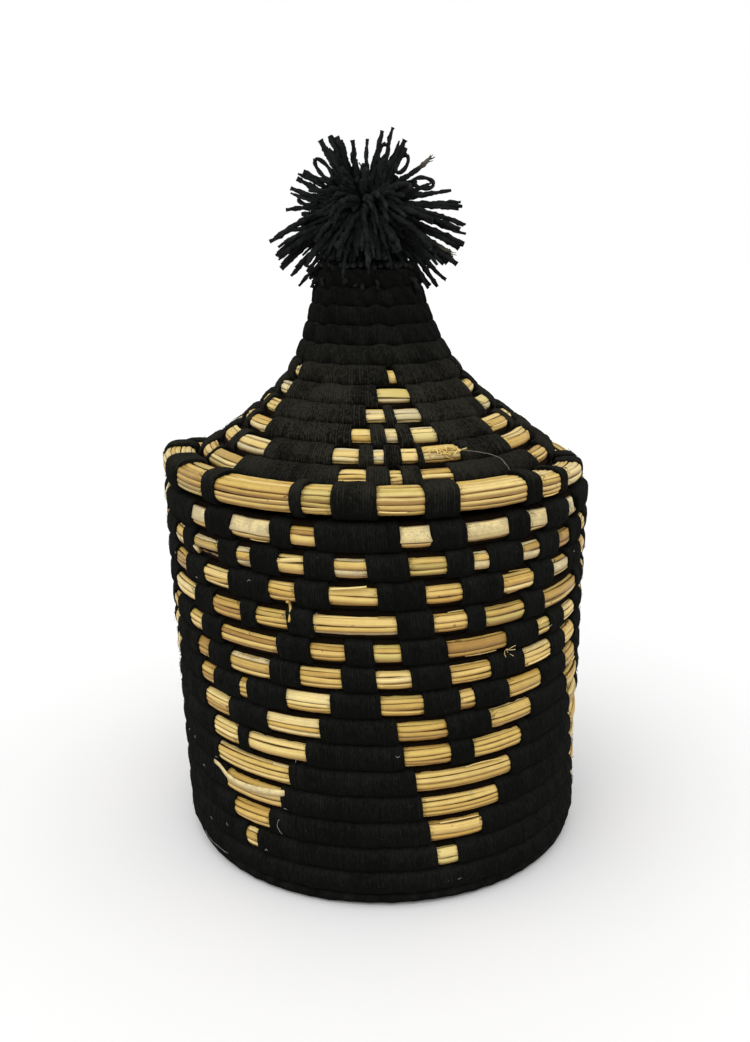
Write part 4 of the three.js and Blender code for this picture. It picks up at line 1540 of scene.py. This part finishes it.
class BasketCoils(bpy.types.PropertyGroup):
    """Sizes of the wrapped bundles"""

    wrap_width: length_setting("Yarn width", "Width of one wrap of wool", 0.00105, 0.0005, 0.004)
    reed_scale: share_setting(
        "Reed width", "Width of the reeds against their usual width", 1.0, 0.5, 2.0
    )
    broken_share: share_setting("Broken reeds", "Share of reeds that end inside a window", 0.004)
    slivers: bpy.props.FloatProperty(
        name="Slivers", description="Loose splinters in a window of 20 mm", default=0.3,
        min=0.0, max=10.0,
    )


class BasketColours(bpy.types.PropertyGroup):
    """Colours of the wool and the straw"""

    wool: colour_setting("Wool", "Black wool in its folds", (0.0033, 0.0034, 0.0029))
    # Lighter wool: its own fibre and dust patches, and also painted highlight on wrap crests and
    # painted light where it faces up
    wool_dust: colour_setting(
        "Wool crests", "Black wool where fibres stand up", (0.0155, 0.0158, 0.0138)
    )
    yarn: colour_setting("Yarn", "Pompom yarn in its folds", (0.0098, 0.0106, 0.0103))
    yarn_dust: colour_setting(
        "Yarn crests", "Pompom yarn where fibres stand up", (0.028, 0.031, 0.031)
    )
    straw_shadow: colour_setting("Dark straw", "Oldest reeds", (0.38, 0.215, 0.045))
    straw_golden: colour_setting("Golden straw", "Most reeds", (0.67, 0.46, 0.105))
    straw_light: colour_setting("Light straw", "Palest skins", (0.89, 0.705, 0.285))
    pith: colour_setting("Pith", "Inner face of split stalks", (0.66, 0.575, 0.35))
    # Near-black colour of the straw between the reeds: painted shade
    core: colour_setting("Bundle core", "Straw deep between the reeds", (0.011, 0.0065, 0.003))


class BasketPompom(bpy.types.PropertyGroup):
    """Sizes of the pompom"""

    strands: count_setting(
        "Strands", "Yarn ends in the pompom, without the outline's", 230, 20, 2000
    )
    clumps: count_setting("Clumps", "Groups that strands draw together in", 34, 1, 400)
    clumping: share_setting("Clumping", "How far strands lean to their clump", 0.55)
    yarn_radius: length_setting("Yarn radius", "Radius of one strand", 0.0016, 0.0003, 0.005)
    half_width: length_setting("Half width", "Reach of the strands sideways", 0.045, 0.01, 0.2)
    half_height: length_setting("Half height", "Reach of the strands upwards", 0.037, 0.01, 0.2)
    frayed: share_setting("Frayed ends", "Share of strands whose cut end is frayed", 0.06)


def looks_of(scene):
    """The basket's materials, made once and shared by its pieces"""
    colours = scene.basket_colours
    if "basket_wool" not in bpy.data.materials:
        wool_look("basket_wool", colours.wool, colours.wool_dust)
        straws = (colours.straw_shadow, colours.straw_golden, colours.straw_light, colours.pith)
        straw_look("basket_straw", *straws)
        core_shade_look("basket_core", colours.core)
        yarn_look("basket_yarn", colours.yarn, colours.yarn_dust, WORN_TIP)
        lint_look("basket_lint", LINT)
    words = ("wool", "straw", "core", "yarn", "lint")
    return {word: bpy.data.materials[f"basket_{word}"] for word in words}


def wall_shares(row):
    """Shares of broad reeds and of pith, and the reeds met first from a window's top: the wall's
    two top rows show the pale faces of split stalks"""
    above = REED_FULL_INSET if row >= 6 else REED_TALL_INSET
    return (*PLAIN_REEDS, SPLIT_FACES.get(row, ()), above, LEAST_HUE)


def plain_shares(_):
    return (PLAIN_REEDS[0], 0.0, (), REED_TALL_INSET, YELLOW_HUE)


def slim_shares(_):
    return (0.0, 0.0, (), REED_EDGE_INSET, YELLOW_HUE)


class BASKET_OT_wall(bpy.types.Operator):
    """Builds the wall's coil with its straw windows"""

    bl_idname = "basket.wall"
    bl_label = "Wall"

    def execute(self, context):
        rng = np.random.default_rng(SEEDS["wall"])
        rows = wall_windows(rng)
        build_coil(
            context.scene, rng, "wall", wall_coil(), rows, "basket", "wall_coil", wall_shares
        )
        return {"FINISHED"}


class BASKET_OT_base(bpy.types.Operator):
    """Builds the flat coil under the wall and the knot it starts from"""

    bl_idname = "basket.base"
    bl_label = "Base"

    def execute(self, context):
        rng = np.random.default_rng(SEEDS["base"])
        scene = context.scene
        build_coil(
            scene, rng, "base", base_coil(), {}, "basket", "base_coil", wall_shares, hairy=False
        )
        middle = (START_LOW.z + START_HIGH.z) / 2
        knot = wound_ball(middle, START_HIGH.x, START_HIGH.z / 2, *BASE_KNOT_YARN, rng)
        yarn, node = looks_of(scene)["yarn"], "base_start_knot"
        knot.piece("base_start_knot_wool", "basket", yarn, [node], "wool_wrapped_straw")
        return {"FINISHED"}


class BASKET_OT_rim(bpy.types.Operator):
    """Builds the lid's rim row and the collar under it"""

    bl_idname = "basket.rim"
    bl_label = "Lid rim and collar"

    def execute(self, context):
        rng = np.random.default_rng(SEEDS["rim"])
        scene = context.scene
        rim = upright_coil(RIM_LOW, RIM_HIGH, RIM_DEPTH, RIM_SECTION_POINTS, dips=True)
        rows = {0: RIM_WINDOWS}
        build_coil(scene, rng, "rim", rim, rows, "lid", "lid_rim_coil", slim_shares)
        collar = upright_coil(COLLAR_LOW, COLLAR_HIGH, COLLAR_DEPTH, SECTION_POINTS)
        build_coil(scene, rng, "collar", collar, {}, "lid", "lid_collar_coil", slim_shares)
        return {"FINISHED"}


class BASKET_OT_cone(bpy.types.Operator):
    """Builds the lid's cone and neck"""

    bl_idname = "basket.cone"
    bl_label = "Lid cone and neck"

    def execute(self, context):
        rng = np.random.default_rng(SEEDS["cone"])
        rows = cone_windows(rng)
        build_coil(context.scene, rng, "cone", cone_coil(), rows, "lid", "lid_coil", plain_shares)
        return {"FINISHED"}


class BASKET_OT_knots(bpy.types.Operator):
    """Builds the neck's plug, the pompom's cord, its tie and its stop knot"""

    bl_idname = "basket.knots"
    bl_label = "Knots and cord"

    def execute(self, context):
        rng = np.random.default_rng(SEEDS["knots"])
        yarn = looks_of(context.scene)["yarn"]
        bore = CORD_HIGH.x + BORE_CLEARANCE
        plug = wound_ring(KNOT_LOW, KNOT_HIGH, bore, *PLUG_YARN, rng)
        plug.piece("neck_plug_wool", "lid", yarn, ["lid_top_knot"], "wool_wrapped_straw")
        cord = Skin()
        line = [(0, 0, z) for z in np.linspace(CORD_LOW.z, CORD_HIGH.z, CORD_POINTS)]
        cord.tube(twisted(line, CORD_HIGH.x, rng, twist=0.008, flatness=0.8), tone=0.2, reach=0.0)
        cord.piece("pompom_cord_yarn", "lid", yarn, ["pompom_cord"], "yarn")
        middle, rise = (STOP_LOW.z + STOP_HIGH.z) / 2, (STOP_HIGH.z - STOP_LOW.z) / 2
        stop = wound_ball(middle, STOP_HIGH.x, rise, *STOP_KNOT_YARN, rng)
        stop.piece("pompom_stop_knot_yarn", "lid", yarn, ["pompom_stop_knot"], "yarn")
        tie = wound_ring(TIE_LOW, TIE_HIGH, bore, *TIE_YARN, rng)
        tie.piece("pompom_tie_yarn", "lid", yarn, ["pompom_tie"], "yarn")
        return {"FINISHED"}


class BASKET_OT_pompom(bpy.types.Operator):
    """Builds the pompom's strands"""

    bl_idname = "basket.pompom"
    bl_label = "Pompom"

    def execute(self, context):
        rng = np.random.default_rng(SEEDS["pompom"])
        add_pompom(context.scene.basket_pompom, looks_of(context.scene), rng)
        return {"FINISHED"}


class BASKET_OT_loose(bpy.types.Operator):
    """Adds splinters, a thread and fluff"""

    bl_idname = "basket.loose"
    bl_label = "Loose straws and lint"

    def execute(self, context):
        rng = np.random.default_rng(SEEDS["loose"])
        looks = looks_of(context.scene)
        add_loose_straws(looks, rng)
        add_lint(looks, rng)
        return {"FINISHED"}


class BASKET_OT_stage(bpy.types.Operator):
    """Adds the floor, the lights and the camera"""

    bl_idname = "basket.stage"
    bl_label = "Stage"

    def execute(self, context):
        scene = context.scene
        add_floor(scene)
        add_lights(scene)
        add_camera(scene)
        scene.view_settings.view_transform = "Standard"
        return {"FINISHED"}


def add_floor(scene):
    """A pale floor far wider than the basket"""
    look = new_look("pale_floor")
    base = look.mix(look.noise(look.place(), 30, 2) * 0.05, FLOOR_PALE, FLOOR_DARKER)
    mesh = bpy.data.meshes.new("floor")
    signs = ((-1, -1), (1, -1), (1, 1), (-1, 1))
    corners = [(x * FLOOR_REACH, y * FLOOR_REACH, 0) for x, y in signs]
    mesh.from_pydata(corners, [], [(0, 1, 2, 3)])
    mesh.materials.append(look.finish(base, 0.9, 0.1))
    floor = bpy.data.objects.new("floor", mesh)
    scene.collection.objects.link(floor)


def add_lights(scene):
    """Soft light from above and in front, and an even world"""
    scene.world = bpy.data.worlds.new("pale_room")
    look = Look(scene.world)
    seen = look.node("ShaderNodeLightPath").outputs["Is Camera Ray"]
    room, backdrop = (
        look.node("ShaderNodeBackground", {}, {"Color": WHITE, "Strength": strength}).outputs[0]
        for strength in (ROOM_LIGHT, 1.0)
    )
    mixed = look.node("ShaderNodeMixShader", {}, {0: seen, 1: room, 2: backdrop})
    look.node("ShaderNodeOutputWorld", {}, {"Surface": mixed.outputs[0]})
    for name, aim, spread, strength in SUNS:
        lamp = bpy.data.lights.new(name, "SUN")
        lamp.energy = strength
        lamp.angle = math.radians(spread)
        holder = bpy.data.objects.new(name, lamp)
        holder.rotation_euler = Vector(aim).to_track_quat("-Z", "Y").to_euler()
        scene.collection.objects.link(holder)


def add_camera(scene):
    """A camera where the photograph was taken from"""
    data = bpy.data.cameras.new("camera")
    data.sensor_width = SENSOR_LONG_SIDE
    data.lens = FOCAL_PIXELS / PHOTO_HEIGHT * SENSOR_LONG_SIDE
    camera = bpy.data.objects.new("camera", data)
    sideways = (AXIS_COLUMN - PHOTO_WIDTH / 2) / FOCAL_PIXELS * CAMERA_DISTANCE
    camera.location = (-sideways, -CAMERA_DISTANCE, CAMERA_HEIGHT)
    camera.rotation_mode = "QUATERNION"
    aim = Euler((math.pi / 2 - CAMERA_PITCH, 0, 0)).to_quaternion()
    camera.rotation_quaternion = aim @ Euler((0, 0, CAMERA_ROLL)).to_quaternion()
    scene.collection.objects.link(camera)
    scene.camera = camera


class BASKET_PT_panel(bpy.types.Panel):
    """Sizes, colours and build steps of the basket"""

    bl_idname = "BASKET_PT_panel"
    bl_label = "Lidded coiled basket"
    bl_space_type = "VIEW_3D"
    bl_region_type = "UI"
    bl_category = "Basket"

    def draw(self, context):
        layout = self.layout
        for setting in SETTINGS:
            group = getattr(context.scene, setting)
            box = layout.box()
            for name in group.bl_rna.properties.keys():
                if name not in ("rna_type", "name"):
                    box.prop(group, name)
        for step in BUILD_STEPS:
            layout.operator(step.bl_idname)


BUILD_STEPS = (
    BASKET_OT_base,
    BASKET_OT_wall,
    BASKET_OT_rim,
    BASKET_OT_cone,
    BASKET_OT_knots,
    BASKET_OT_pompom,
    BASKET_OT_loose,
    BASKET_OT_stage,
)
SETTINGS = {
    "basket_coils": BasketCoils,
    "basket_colours": BasketColours,
    "basket_pompom": BasketPompom,
}
CLASSES = (*SETTINGS.values(), *BUILD_STEPS, BASKET_PT_panel)


def register():
    for item in CLASSES:
        bpy.utils.register_class(item)
    for name, group in SETTINGS.items():
        setattr(bpy.types.Scene, name, bpy.props.PointerProperty(type=group))


def unregister():
    for name in SETTINGS:
        delattr(bpy.types.Scene, name)
    for item in reversed(CLASSES):
        bpy.utils.unregister_class(item)


def main():
    register()
    bpy.ops.basket.base()
    bpy.ops.basket.wall()
    bpy.ops.basket.rim()
    bpy.ops.basket.cone()
    bpy.ops.basket.knots()
    bpy.ops.basket.pompom()
    bpy.ops.basket.loose()
    bpy.ops.basket.stage()


if __name__ == "__main__":
    main()
